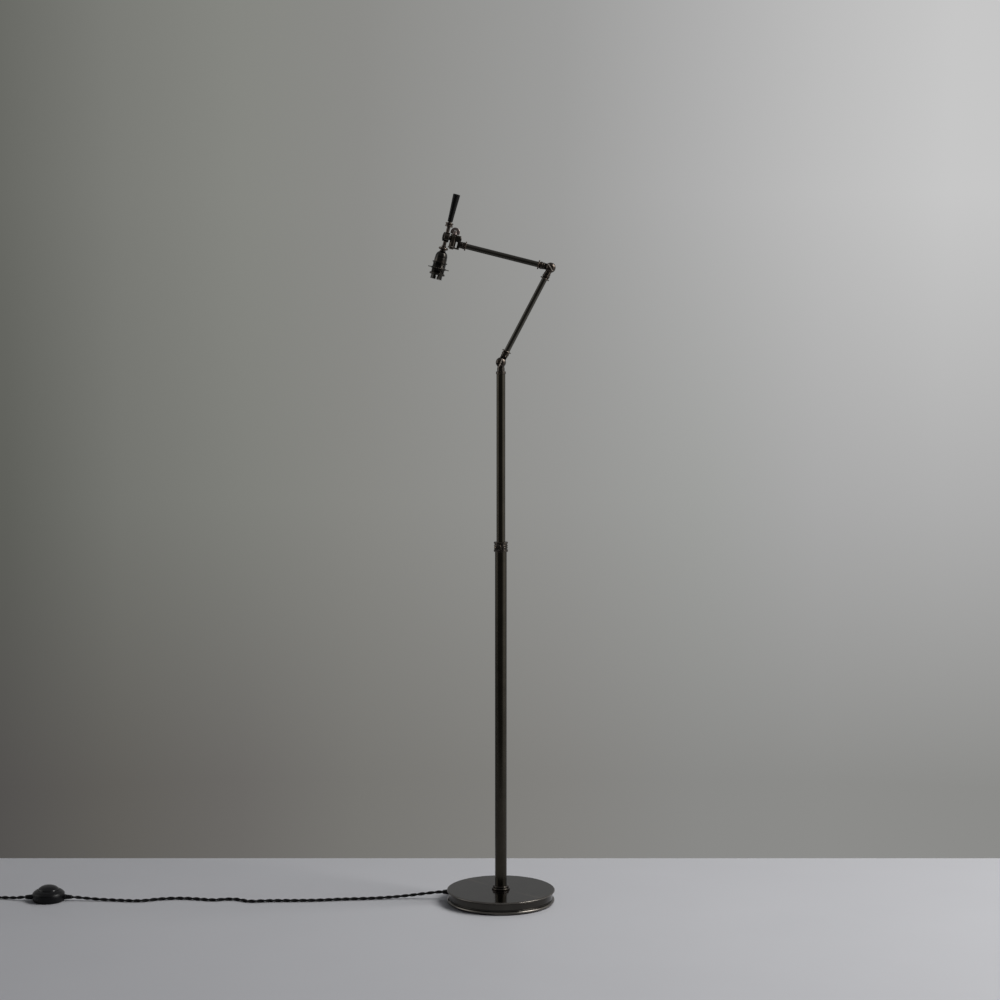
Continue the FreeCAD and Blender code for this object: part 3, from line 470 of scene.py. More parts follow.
SHAPES = {
    "felt_pad": ("turned", None, [(0, 0), (110, 0), (110, 2), (0, 2)]),
    "base_cover": ("cut", None, ("turned", None, [(5.1, 26.5), (110.4, 26.5), (110.4, 3.4), (111.4, 1.8),
        (113.4, 1.8, 3.2), (116, 4.7, 3.2), (113.4, 7.6), (112.6, 7.9), (112.6, 8.6), (113.1, 9), (112.5, 9.6,
        -60), (112.5, 23.2), (114.4, 23.9), (115.5, 24.5, 1.6), (115.5, 27.4), (114.3, 28), (5.1, 28)]), ("cyl",
        [0.0194, 0.1378, -0.9903, -101.0073, 0.1378, 0.9806, 0.1392, 14.1957, 0.9903, -0.1392, 0, 17, 0, 0, 0,
        1], (6.05, 20))),
    "pole_foot_collar": ("turned", None, [(12.75, 28), (18.8, 28), (19.5, 28.7), (19.5, 29.4, 2.2), (17.6,
        32.2), (16.3, 32.6), (16.3, 33.2), (17.3, 33.6, 1.9), (15.9, 36.6), (15.1, 37), (12.75, 37)]),
    "lower_tube": ("turned", None, [(11.2, 28), (12.7, 28), (12.7, 763.6), (11.2, 763.6)]),
    "clamp_collar": ("cut", None, ("turned", None, [(12.75, 759.6), (14.65, 759.6), (15.25, 760.2), (15.25,
        764), (14.65, 764.6), (13.75, 764.8), (13.75, 766.8), (14.35, 767.1), (14.85, 767.7), (14.85, 769.4),
        (14.35, 770), (13.75, 770.3), (13.75, 771.1), (14.35, 771.4), (14.85, 772), (14.85, 773.8), (14.35,
        774.4), (13.75, 774.7), (13.75, 776.8), (14.55, 777.1), (15.25, 777.7), (15.25, 780), (14.15, 781.1),
        (9.8, 781.1), (9.8, 763.6), (12.75, 763.6)]), ("cyl", [0.8716, -0.3346, -0.3584, -3.0461, -0.3346,
        0.1284, -0.9336, -7.9354, 0.3584, 0.9336, 0, 769.6, 0, 0, 0, 1], (2.55, 10))),
    "clamp_screw": ("cut", [0.4808, -0.8002, -0.3584, 0, -0.1846, 0.3072, -0.9336, 0, 0.8572, 0.515, 0, 769.6,
        0, 0, 0, 1], ("turned", None, [(0, 10.2), (2, 10.2), (2.5, 10.8), (2.5, 15.9), (3.6, 15.9), (3.6, 17.4),
        (6.8, 17.4), (7.8, 18.2), (7.8, 20.2, 22), (3.9, 22.1, 40), (0, 22.4)]), ("box", [1, 0, 0, -0.9, 0, 1,
        0, -12, 0, 0, 1, 20.6, 0, 0, 0, 1], (1.8, 24, 9.4))),
    "upper_tube": ("turned", None, [(8.3, 430), (9.5, 430), (9.5, 1137.6), (8.3, 1137.6)]),
    "column_knuckle": ("cut", [-1, 0, 0, 0, 0, 1, 0, 0, 0, 0, -1, 1162.6, 0, 0, 0, 1], ("cut", None, ("fuse",
        None, [("turned", None, [(0, 11.6), (7.6, 11.6), (8.2, 12.2), (8.2, 18.4), (8.9, 18.9), (9.9, 19),
        (10.6, 19.7), (10.6, 24.3), (9.9, 25), (8.25, 25), (8.25, 49), (7.25, 50), (0, 50)]), ("common", None,
        ("cyl", None, (7.6, 12.6)), ("box", [1, 0, 0, -20, 0, 1, 0, -6.8, 0, 0, 1, 0, 0, 0, 0, 1], (40, 6.2,
        40))), ("turned", [1, 0, 0, 0, 0, 0, -1, 0, 0, 1, 0, 0, 0, 0, 0, 1], [(3.05, 0.6), (10.9836, 0.6, 11),
        (8.6464, 6.8), (3.05, 6.8)])]), ("cyl", [1, 0, 0, 0, 0, 0, 1, -15, 0, -1, 0, 0, 0, 0, 0, 1], (3.05,
        30))), ("cyl", [1, 0, 0, 0, 0, 1, 0, 0, 0, 0, 1, 11.8, 0, 0, 0, 1], (3.2, 50))),
    "lower_pivot_screw": ("cut", [0.9063, 0.4226, 0, 0, 0, 0, -1, 7.8, -0.4226, 0.9063, 0, 1162.6, 0, 0, 0, 1],
        ("turned", None, [(0, 0), (2.6, 0), (3, 0.4), (3, 14.6), (9, 14.6), (9.2, 15.4, 11.5), (5.4, 18.3,
        16.5), (0, 19.1)]), ("box", [1, 0, 0, -1.1, 0, 1, 0, -12, 0, 0, 1, 16, 0, 0, 0, 1], (2.2, 24, 14))),
    "lower_pivot_nut": ("turned", [1, 0, 0, 0, 0, 0, 1, 7, 0, -1, 0, 1162.6, 0, 0, 0, 1], [(3.02, 0), (7.4, 0),
        (7.8, 0.6), (7.8, 1.8, 9.5), (4.6, 3.9), (3.02, 3.9)]),
    "lower_arm_knuckle": ("cut", [0.8854, 0, 0.4648, 0, 0, 1, 0, 0, -0.4648, 0, 0.8854, 1162.6, 0, 0, 0, 1],
        ("cut", None, ("fuse", None, [("turned", None, [(0, 13.6), (6.7, 13.6), (7.5, 14.3), (7.5, 16.4), (6.8,
        16.9), (6.8, 17.5), (7.9, 18), (7.9, 22.4), (7, 23.2), (6.5, 24.4), (4.75, 24.4), (4.75, 36.4), (0,
        36.4)]), ("common", None, ("cyl", None, (6.7, 14.2)), ("box", [1, 0, 0, -20, 0, 1, 0, 0.6, 0, 0, 1, 0,
        0, 0, 0, 1], (40, 6.2, 40))), ("turned", [1, 0, 0, 0, 0, 0, 1, 0, 0, -1, 0, 0, 0, 0, 0, 1], [(3.05,
        0.6), (10.9836, 0.6, 11), (8.6464, 6.8), (3.05, 6.8)])]), ("cyl", [1, 0, 0, 0, 0, 0, 1, -15, 0, -1, 0,
        0, 0, 0, 0, 1], (3.05, 30))), ("cyl", [1, 0, 0, 0, 0, 1, 0, 0, 0, 0, 1, 11.8, 0, 0, 0, 1], (2.4,
        36.4))),
    "lower_arm_tube": ("turned", [0.8854, 0, 0.4648, 0, 0, 1, 0, 0, -0.4648, 0, 0.8854, 1162.6, 0, 0, 0, 1],
        [(4.8, 24.4), (6, 24.4), (6, 201.1), (4.8, 201.1)]),
    "lower_arm_rings": ("group", [0.8854, 0, 0.4648, 0, 0, 1, 0, 0, -0.4648, 0, 0.8854, 1162.6, 0, 0, 0, 1],
        [("turned", None, [(6.03, 24.6), (9.3, 24.6), (9.9, 25.2), (9.9, 26.8), (9.3, 27.4), (6.03, 27.4)]),
        ("turned", None, [(6.03, 198.1), (9.3, 198.1), (9.9, 198.7), (9.9, 200.3), (9.3, 200.9), (6.03,
        200.9)])]),
    "elbow_socket": ("cut", [-0.8854, 0, -0.4648, 104.8219, 0, 1, 0, 0, 0.4648, 0, -0.8854, 1362.2563, 0, 0, 0,
        1], ("cut", None, ("fuse", None, [("turned", None, [(0, 13.6), (6.7, 13.6), (7.5, 14.3), (7.5, 16.4),
        (6.8, 16.9), (6.8, 17.5), (7.9, 18), (7.9, 22.4), (7, 23.2), (6.5, 24.4), (4.75, 24.4), (4.75, 36.4),
        (0, 36.4)]), ("common", None, ("cyl", None, (6.7, 14.2)), ("box", [1, 0, 0, -20, 0, 1, 0, -6.8, 0, 0, 1,
        0, 0, 0, 0, 1], (40, 6.2, 40))), ("turned", [1, 0, 0, 0, 0, 0, -1, 0, 0, 1, 0, 0, 0, 0, 0, 1], [(3.05,
        0.6), (10.9836, 0.6, 11), (8.6464, 6.8), (3.05, 6.8)])]), ("cyl", [1, 0, 0, 0, 0, 0, 1, -15, 0, -1, 0,
        0, 0, 0, 0, 1], (3.05, 30))), ("cyl", [1, 0, 0, 0, 0, 1, 0, 0, 0, 0, 1, 11.8, 0, 0, 0, 1], (2.4,
        36.4))),
    "elbow_pivot_screw": ("cut", [0.8536, -0.521, 0, 104.8219, 0, 0, -1, 7.8, 0.521, 0.8536, 0, 1362.2563, 0, 0,
        0, 1], ("turned", None, [(0, 0), (2.6, 0), (3, 0.4), (3, 14.6), (9, 14.6), (9.2, 15.4, 11.5), (5.4,
        18.3, 16.5), (0, 19.1)]), ("box", [1, 0, 0, -1.1, 0, 1, 0, -12, 0, 0, 1, 16, 0, 0, 0, 1], (2.2, 24,
        14))),
    "elbow_pivot_nut": ("turned", [1, 0, 0, 104.8219, 0, 0, 1, 7, 0, -1, 0, 1362.2563, 0, 0, 0, 1], [(3.02, 0),
        (7.4, 0), (7.8, 0.6), (7.8, 1.8, 9.5), (4.6, 3.9), (3.02, 3.9)]),
    "upper_arm_knuckle": ("cut", [0.2436, 0, -0.9699, 104.8219, 0, 1, 0, 0, 0.9699, 0, 0.2436, 1362.2563, 0, 0,
        0, 1], ("cut", None, ("fuse", None, [("turned", None, [(0, 13.6), (6.7, 13.6), (7.5, 14.3), (7.5, 16.4),
        (6.8, 16.9), (6.8, 17.5), (7.9, 18), (7.9, 22.4), (7, 23.2), (6.5, 24.4), (4.75, 24.4), (4.75, 36.4),
        (0, 36.4)]), ("common", None, ("cyl", None, (6.7, 14.2)), ("box", [1, 0, 0, -20, 0, 1, 0, 0.6, 0, 0, 1,
        0, 0, 0, 0, 1], (40, 6.2, 40))), ("turned", [1, 0, 0, 0, 0, 0, 1, 0, 0, -1, 0, 0, 0, 0, 0, 1], [(3.05,
        0.6), (10.9836, 0.6, 11), (8.6464, 6.8), (3.05, 6.8)])]), ("cyl", [1, 0, 0, 0, 0, 0, 1, -15, 0, -1, 0,
        0, 0, 0, 0, 1], (3.05, 30))), ("cyl", [1, 0, 0, 0, 0, 1, 0, 0, 0, 0, 1, 11.8, 0, 0, 0, 1], (2.4,
        36.4))),
    "upper_arm_tube": ("turned", [0.2436, 0, -0.9699, 104.8219, 0, 1, 0, 0, 0.9699, 0, 0.2436, 1362.2563, 0, 0,
        0, 1], [(4.8, 24.4), (6, 24.4), (6, 186.6), (4.8, 186.6)]),
    "upper_arm_rings": ("group", [0.2436, 0, -0.9699, 104.8219, 0, 1, 0, 0, 0.9699, 0, 0.2436, 1362.2563, 0, 0,
        0, 1], [("turned", None, [(6.03, 24.6), (9.3, 24.6), (9.9, 25.2), (9.9, 26.8), (9.3, 27.4), (6.03,
        27.4)]), ("turned", None, [(6.03, 183.6), (9.3, 183.6), (9.9, 184.2), (9.9, 185.8), (9.3, 186.4), (6.03,
        186.4)])]),
    "head_yoke": ("cut", [0.2436, 0, -0.9699, -101.9548, 0, 1, 0, 0, 0.9699, 0, 0.2436, 1414.195, 0, 0, 0, 1],
        ("cut", None, ("cut", None, ("fuse", None, [("turned", [1, 0, 0, 0, 0, 1, 0, 0, 0, 0, 1, -38.6, 0, 0, 0,
        1], [(0, 0), (4.75, 0), (4.75, 12), (6.7, 12), (7.5, 12.8), (7.5, 15.6), (6.7, 16.4), (7, 17.2), (7,
        27), (0, 27)]), ("box", [1, 0, 0, -11.5, 0, 1, 0, -7, 0, 0, 1, -16, 0, 0, 0, 1], (26, 14, 5.6)),
        ("turned", [1, 0, 0, 10.5, 0, 0, -1, 0, 0, 1, 0, -10, 0, 0, 0, 1], [(0, -7.6), (5.8, -7.6), (7, -6.4),
        (7, 6.4), (5.8, 7.6), (0, 7.6)]), ("box", [1, 0, 0, 14.5, 0, 1, 0, -8, 0, 0, 1, -15.2, 0, 0, 0, 1], (3,
        16, 15.2)), ("box", [1, 0, 0, -11.5, 0, 1, 0, -8, 0, 0, 1, -15.2, 0, 0, 0, 1], (3, 16, 15.2)), ("cyl",
        [0, 0, 1, 14.5, 0, 1, 0, 0, -1, 0, 0, 0, 0, 0, 0, 1], (8, 3)), ("cyl", [0, 0, 1, -11.5, 0, 1, 0, 0, -1,
        0, 0, 0, 0, 0, 0, 1], (8, 3))]), ("cyl", [0, 0, 1, -8.5, 0, 1, 0, 0, -1, 0, 0, 0, 0, 0, 0, 1], (7.5,
        23))), ("cyl", [0, 0, 1, -30, 0, 1, 0, 0, -1, 0, 0, 0, 0, 0, 0, 1], (3.05, 60))), ("cyl", [1, 0, 0, 0,
        0, 1, 0, 0, 0, 0, 1, -39, 0, 0, 0, 1], (2.4, 30))),
    "yaw_bolt": ("turned", [0.9699, 0, 0.2436, -105.2924, 0, 1, 0, 0, -0.2436, 0, 0.9699, 1400.9077, 0, 0, 0,
        1], [(0, 0), (4.2, 0), (4.8, 0.9), (4.8, 2.2), (3, 2.2), (3, 38.6), (2.6, 39.2), (0, 39.2)]),
    "yaw_thumb_screw": ("cut", [0.9699, 0, 0.2436, -97.6185, 0, 1, 0, 0, -0.2436, 0, 0.9699, 1431.4587, 0, 0, 0,
        1], ("fuse", None, [("turned", None, [(3.05, 0), (4.9, 0), (5.2, 0.5), (5.2, 1.8), (4.4, 2.8), (4.4,
        5.4), (3.05, 5.4)]), ("common", None, ("cyl", [1, 0, 0, 0, 0, 0, -1, 1.7, 0, 1, 0, 5.2, 0, 0, 0, 1],
        (10, 3.4)), ("box", [1, 0, 0, -20, 0, 1, 0, -20, 0, 0, 1, 1, 0, 0, 0, 1], (40, 40, 29)))]), ("cyl", [1,
        0, 0, 0, 0, 1, 0, 0, 0, 0, 1, -0.6, 0, 0, 0, 1], (3.05, 9.4))),
    "yaw_barrel": ("cut", [0.2436, 0, -0.9699, -101.9548, 0, 1, 0, 0, 0.9699, 0, 0.2436, 1414.195, 0, 0, 0, 1],
        ("fuse", None, [("cyl", [0, 0, 1, -7.8, 0, 1, 0, 0, -1, 0, 0, 0, 0, 0, 0, 1], (6.8, 21.6)), ("turned",
        [1, 0, 0, 8.7, 0, 1, 0, 0, 0, 0, 1, 0, 0, 0, 0, 1], [(0, 5), (3.9, 5), (3.9, 6.2), (4.9, 6.6), (5, 7),
        (5, 8.4), (4.4, 9), (3.5, 9), (3.5, 11.8), (3.2, 12.1), (0, 12.1)])]), ("cyl", [0, 0, 1, -20, 0, 1, 0,
        0, -1, 0, 0, 0, 0, 0, 0, 1], (3.05, 40))),
    "head_drum": ("cut", [0.2436, 0, -0.9699, -99.8354, 0, 1, 0, 0, 0.9699, 0, 0.2436, 1422.6329, 0, 0, 0, 1],
        ("turned", None, [(3.55, 9.3), (9.5, 9.3), (10.5, 10.3), (10.5, 19), (9.5, 20), (6.5, 20), (6.5, 12.3),
        (3.55, 12.3)]), ("cyl", [0, 0, 1, -15, 0, 1, 0, 0, -1, 0, 0, 16, 0, 0, 0, 1], (3.78, 30))),
    "head_cap": ("cut", [0.1144, -0.2151, -0.9699, -99.8354, 0.883, 0.4695, 0, 0, 0.4553, -0.8563, 0.2436,
        1422.6329, 0, 0, 0, 1], ("turned", None, [(0, 17.4), (5.6, 17.4), (6.4, 18.2), (6.4, 20.05), (9.2,
        20.05), (9.6, 20.6), (9.6, 22.2, 14), (5, 24.2, 40), (0, 24.5)]), ("box", [1, 0, 0, -0.9, 0, 1, 0, -12,
        0, 0, 1, 22.7, 0, 0, 0, 1], (1.8, 24, 7.3))),
    "handle_shank": ("turned", [0.9699, 0, 0.2436, -115.3533, 0, 1, 0, 0, -0.2436, 0, 0.9699, 1426.5307, 0, 0,
        0, 1], [(0, 7.4), (3.75, 7.4), (3.75, 21.4), (5.4, 21.9), (7.7, 22.1), (8.5, 22.9), (8.5, 24.6), (7.8,
        25.3), (7.2, 25.7), (7.2, 27.2), (7.8, 27.6), (8.5, 28.3), (8.5, 29.9), (7.6, 30.7), (4.6, 31), (3.7,
        31.4), (3.7, 33), (2.4, 33), (2.4, 70), (0, 70)]),
    "handle_grip": ("turned", [0.9699, 0, 0.2436, -115.3533, 0, 1, 0, 0, -0.2436, 0, 0.9699, 1426.5307, 0, 0, 0,
        1], [(2.45, 33), (5.1, 33), (5.5, 33.5), (5.75, 45), (6.4, 63), (7.1, 79), (7.55, 90), (7.6, 91.1), (6.9,
        91.9), (6.3, 92), (0, 92), (0, 70.2), (2.45, 70.2)]),
    "stem_coupler": ("turned", [-0.9699, 0, -0.2436, -115.3533, 0, 1, 0, 0, 0.2436, 0, -0.9699, 1426.5307, 0, 0,
        0, 1], [(2.2, 7.4), (3.75, 7.4), (3.75, 18.6), (5.2, 19), (5.2, 20.4), (4.6, 20.9), (4.6, 21.9), (8.4,
        22.3), (9.6, 23.2, 2.6), (9.6, 26.6), (8.4, 27.5), (6.6, 27.8), (5.4, 28.4), (5.4, 29.4), (3.75, 29.5),
        (3.75, 34), (2.2, 34)]),
    "lampholder_cap": ("turned", [-0.9699, 0, -0.2436, -115.3533, 0, 1, 0, 0, 0.2436, 0, -0.9699, 1426.5307, 0,
        0, 0, 1], [(3.8, 29.6), (6, 29.6), (6.6, 30.1), (6.8, 31.8, 9.5), (12, 38.6, 12), (12.9, 42), (12.9,
        45.6), (13.3, 46.1), (13.3, 53.9), (12.2, 53.9), (12.2, 46.6), (11.6, 42.6, -10.8), (10.9, 39.6, -8.5),
        (5.7, 33.2), (5.4, 31.2), (3.8, 31.2)]),
    "lampholder_barrel": ("turned", [-0.9699, 0, -0.2436, -115.3533, 0, 1, 0, 0, 0.2436, 0, -0.9699, 1426.5307,
        0, 0, 0, 1], [(12.25, 54), (15.4, 54), (16, 54.6), (16, 55.9), (15.4, 56.5), (14.2, 56.9), (14, 57.4),
        (14, 80), (13.4, 80.6), (12.25, 80.6)]),
    "bayonet_sleeve": ("cut", [-0.9699, 0, -0.2436, -115.3533, 0, 1, 0, 0, 0.2436, 0, -0.9699, 1426.5307, 0, 0,
        0, 1], ("cut", None, ("turned", None, [(11.3, 67), (11.6, 67), (11.6, 50), (12.2, 50), (12.2, 89.8),
        (12.55, 90.3), (12.4, 91), (11.3, 91)]), ("fuse", None, [("box", [1, 0, 0, -1.4, 0, 1, 0, 5, 0, 0, 1,
        82, 0, 0, 0, 1], (2.8, 15, 13)), ("box", [1, 0, 0, -1.4, 0, 1, 0, 5, 0, 0, 1, 82, 0, 0, 0, 1], (6.6, 15,
        2.8))])), ("fuse", [-1, 0, 0, 0, 0, -1, 0, 0, 0, 0, 1, 0, 0, 0, 0, 1], [("box", [1, 0, 0, -1.4, 0, 1, 0,
        5, 0, 0, 1, 82, 0, 0, 0, 1], (2.8, 15, 13)), ("box", [1, 0, 0, -1.4, 0, 1, 0, 5, 0, 0, 1, 82, 0, 0, 0,
        1], (6.6, 15, 2.8))])),
    "lampholder_insert": ("cut", [-0.9699, 0, -0.2436, -115.3533, 0, 1, 0, 0, 0.2436, 0, -0.9699, 1426.5307, 0,
        0, 0, 1], ("cut", None, ("turned", None, [(0, 50), (11.5, 50), (11.5, 60.8), (10.7, 61.6), (0, 61.6)]),
        ("cyl", [1, 0, 0, 0, 0, 1, 0, -4.9, 0, 0, 1, 51.8, 0, 0, 0, 1], (2, 12))), ("cyl", [1, 0, 0, 0, 0, 1, 0,
        4.9, 0, 0, 1, 51.8, 0, 0, 0, 1], (2, 12))),
    "plunger_left": ("turned", [-0.9699, 0, -0.2436, -115.3533, 0, 1, 0, -4.9, 0.2436, 0, -0.9699, 1426.5307, 0,
        0, 0, 1], [(0, 58), (1.6, 58), (1.95, 58.4), (1.95, 64.6, 2.6), (1.1, 66.2), (0.6, 66.6), (0, 66.6)]),
    "plunger_right": ("turned", [-0.9699, 0, -0.2436, -115.3533, 0, 1, 0, 4.9, 0.2436, 0, -0.9699, 1426.5307, 0,
        0, 0, 1], [(0, 58), (1.6, 58), (1.95, 58.4), (1.95, 64.6, 2.6), (1.1, 66.2), (0.6, 66.6), (0, 66.6)]),
    "shade_ring": ("turned", [-0.9699, 0, -0.2436, -115.3533, 0, 1, 0, 0, 0.2436, 0, -0.9699, 1426.5307, 0, 0,
        0, 1], [(14.1, 65.8), (15.7, 65.8), (15.9, 66.9), (22.1, 66.9), (22.5, 67.3), (22.5, 68.1), (22.1,
        68.5), (15.9, 68.5), (15.7, 69.6), (14.1, 69.6)]),
    "lower_shade_ring": ("turned", [-0.9699, 0, -0.2436, -115.3533, 0, 1, 0, 0, 0.2436, 0, -0.9699, 1426.5307,
        0, 0, 0, 1], [(14.1, 77.6), (15.6, 77.6), (16.25, 78.2), (16.25, 81.2), (15.6, 81.9), (14.1, 81.9)]),
    "switch_base": ("cut", [1, 0, 0, -978.5, 0, 1, 0, 6, 0, 0, 1, 0, 0, 0, 0, 1], ("turned", None, [(0, 0),
        (30.5, 0), (32.9, 1), (34, 3.6), (34.5, 7), (34.5, 15.3), (33.9, 16.1), (32.3, 16.1), (32.3, 4.2),
        (30.7, 2.6), (0, 2.6)]), ("cyl", [0, 0, 1, -50, 0, 1, 0, 0, -1, 0, 0, 8.5, 0, 0, 0, 1], (4.95, 100))),
    "switch_cover": ("turned", [1, 0, 0, -978.5, 0, 1, 0, 6, 0, 0, 1, 0, 0, 0, 0, 1], [(34, 16.5), (34.3, 17.1,
        15), (30.9, 21.1, 14), (24, 24.6), (23.1, 24.3), (23.1, 22.9), (28.1, 20.1), (31.5, 16.5)]),
    "switch_button": ("turned", [1, 0, 0, -978.5, 0, 1, 0, 6, 0, 0, 1, 0, 0, 0, 0, 1], [(0, 19.2), (4, 19.2),
        (4, 31.4), (14.6, 29.2, -34), (20, 25.2), (20, 20.8), (23.6, 20.8), (23.6, 22.3), (22.6, 22.7), (22.6,
        25.4), (21.9, 26.8, 24), (12, 33.2, 50), (2, 35), (0, 35)]),
    "plug_pins": ("group", [-1, 0, 0, -1266, 0, -1, 0, 26.5, 0, 0, 1, 0, 0, 0, 0, 1], [("box", [1, 0, 0, 8, 0,
        1, 0, -2, 0, 0, 1, 11, 0, 0, 0, 1], (8, 4, 29.7)), ("box", [1, 0, 0, -12.2, 0, 1, 0, -14.3, 0, 0, 1, 11,
        0, 0, 0, 1], (4, 6.35, 24.7)), ("box", [1, 0, 0, -12.2, 0, 1, 0, 7.95, 0, 0, 1, 11, 0, 0, 0, 1], (4,
        6.35, 24.7))]),
}


# ---------------------------------------------------------------- materials
class Graph:
    """A short way to write a material's nodes."""

    def __init__(self, name):
        self.mat = bpy.data.materials.new(name)
        self.mat.use_nodes = True
        self.tree = self.mat.node_tree
        self.shader = next(n for n in self.tree.nodes if n.type == "BSDF_PRINCIPLED")

    def add(self, kind, **props):
        n = self.tree.nodes.new(kind)
        for k, v in props.items():
            setattr(n, k, v)
        return n

    def link(self, a, b):
        self.tree.links.new(a, b)

    def place(self):
        return self.add("ShaderNodeTexCoord").outputs["Object"]

    def stretched(self, vector, scale):
        n = self.add("ShaderNodeMapping")
        n.inputs["Scale"].default_value = scale
        self.link(vector, n.inputs["Vector"])
        return n.outputs["Vector"]

    def noise(self, vector, scale, detail=3.0, rough=0.55, distort=0.0):
        n = self.add("ShaderNodeTexNoise")
        n.inputs["Scale"].default_value = scale
        n.inputs["Detail"].default_value = detail
        n.inputs["Roughness"].default_value = rough
        n.inputs["Distortion"].default_value = distort
        self.link(vector, n.inputs["Vector"])
        return n.outputs["Fac"]

    def ramp(self, fac, stops, ease="LINEAR"):
        n = self.add("ShaderNodeValToRGB")
        n.color_ramp.interpolation = ease
        e = n.color_ramp.elements
        while len(e) < len(stops):
            e.new(0.5)
        for el, (at, col) in zip(e, stops):
            el.position = at
            el.color = (*col, 1) if hasattr(col, "__len__") else (col, col, col, 1)
        self.link(fac, n.inputs["Fac"])
        return n.outputs["Color"]

    def mix(self, fac, a, b, how="MIX"):
        n = self.add("ShaderNodeMix", data_type="RGBA", blend_type=how)
        for sock, v in ((n.inputs["Factor"], fac), (n.inputs[6], a), (n.inputs[7], b)):
            if hasattr(v, "is_linked"):
                self.link(v, sock)
            elif hasattr(v, "__len__"):
                sock.default_value = (*v, 1)
            else:
                sock.default_value = v
        return n.outputs[2]

    def math(self, op, a, b=None, clamp=False):
        n = self.add("ShaderNodeMath", operation=op)
        n.use_clamp = clamp
        for sock, v in ((n.inputs[0], a), (n.inputs[1], b)):
            if v is None:
                continue
            if hasattr(v, "is_linked"):
                self.link(v, sock)
            else:
                sock.default_value = v
        return n.outputs[0]

    def bump(self, height, strength, distance, after=None):
        n = self.add("ShaderNodeBump")
        n.inputs["Strength"].default_value = strength
        n.inputs["Distance"].default_value = distance
        self.link(height, n.inputs["Height"])
        if after is not None:
            self.link(after, n.inputs["Normal"])
        return n.outputs["Normal"]

    def edges(self, low=0.512, high=0.58):
        """Where the surface turns outward sharply, as on a rubbed rim."""
        p = self.add("ShaderNodeNewGeometry").outputs["Pointiness"]
        return self.ramp(p, [(low, 0.0), (high, 1.0)])

    def set(self, **values):
        for k, v in values.items():
            sock = self.shader.inputs[k.replace("_", " ")]
            if hasattr(v, "is_linked"):
                self.link(v, sock)
            elif hasattr(v, "__len__") and len(v) == 3:
                sock.default_value = (*v, 1)
            else:
                sock.default_value = v


def bronze(name, dark, light, rubbed, rough, wear=0.6, drawn=None, grain=0.05, low=0.512, high=0.58, speckle=1.0, smudge=0.12):
    """Antique bronze: a brown-black patina, cloudy at a few centimetres, mottled at a few millimetres, lifted
    on the rims so that the warm metal shows, with fine lines left by turning or drawing."""
    g = Graph(name)
    at = g.place()
    cloud = g.noise(at, 28, 4, 0.6, 0.4)
    mottle = g.noise(at, 420, 3, 0.6)
    tone = g.mix(g.ramp(cloud, [(0.32, 0.0), (0.68, 1.0)]), dark, light)
    tone = g.mix(g.ramp(mottle, [(0.42, 0.0), (0.74, 0.5 * speckle)]), tone, tuple(c * 1.45 + 0.003 for c in light))
    # small brown spots where the patina is thin
    spots = g.ramp(g.noise(at, 950, 2, 0.5), [(0.66, 0.0), (0.78, 0.4 * speckle)])
    tone = g.mix(spots, tone, rubbed)
    edge = g.edges(low, high)
    broken = g.math("MULTIPLY", edge, g.ramp(g.noise(at, 700, 3, 0.65), [(0.36, 0.15), (0.62, 1.0)]))
    worn = g.math("MULTIPLY", broken, wear)
    tone = g.mix(worn, tone, rubbed)
    smear = g.noise(at, 60, 5, 0.62, 0.8)
    r = g.math("ADD", g.math("MULTIPLY", g.ramp(smear, [(0.3, 0.0), (0.75, 1.0)]), smudge), rough - 0.4 * smudge)
    r = g.math("SUBTRACT", r, g.math("MULTIPLY", worn, 0.06), True)
    lines = g.noise(g.stretched(at, drawn or (1, 1, 40)), 90 if drawn else 60, 2, 0.5)
    fine = g.noise(at, 5200, 2, 0.6)
    n = g.bump(lines, grain, 0.0002)
    n = g.bump(fine, grain * 0.9, 0.00008, n)
    g.set(Base_Color=tone, Roughness=r, Metallic=1.0, Normal=n)
    return g.mat


def plastic(name, col, rough, grain, scale, coat=0.0, spread=0.25, shine=0.5):
    g = Graph(name)
    at = g.place()
    cloud = g.noise(at, 45, 4, 0.6)
    tone = g.mix(cloud, tuple(c * (1 - spread) for c in col), tuple(c * (1 + spread) for c in col))
    scuffs = g.ramp(g.noise(g.stretched(at, (1, 6, 1)), 260, 4, 0.7, 1.2), [(0.62, 0.0), (0.75, 1.0)])
    edge = g.edges(0.52, 0.6)
    tone = g.mix(g.math("MULTIPLY", edge, 0.35), tone, tuple(c * 1.8 + 0.006 for c in col))
    r = g.math("ADD", g.math("MULTIPLY", scuffs, 0.16), g.math("ADD", g.math("MULTIPLY", cloud, 0.1), rough - 0.05))
    n = g.bump(g.noise(at, scale, 3, 0.6), grain, 0.00015)
    g.set(Base_Color=tone, Roughness=r, Metallic=0.0, Normal=n)
    g.set(IOR=1.5)
    g.set(Specular_IOR_Level=shine)
    if coat:
        g.set(Coat_Weight=coat)
        g.set(Coat_Roughness=0.12)
    return g.mat


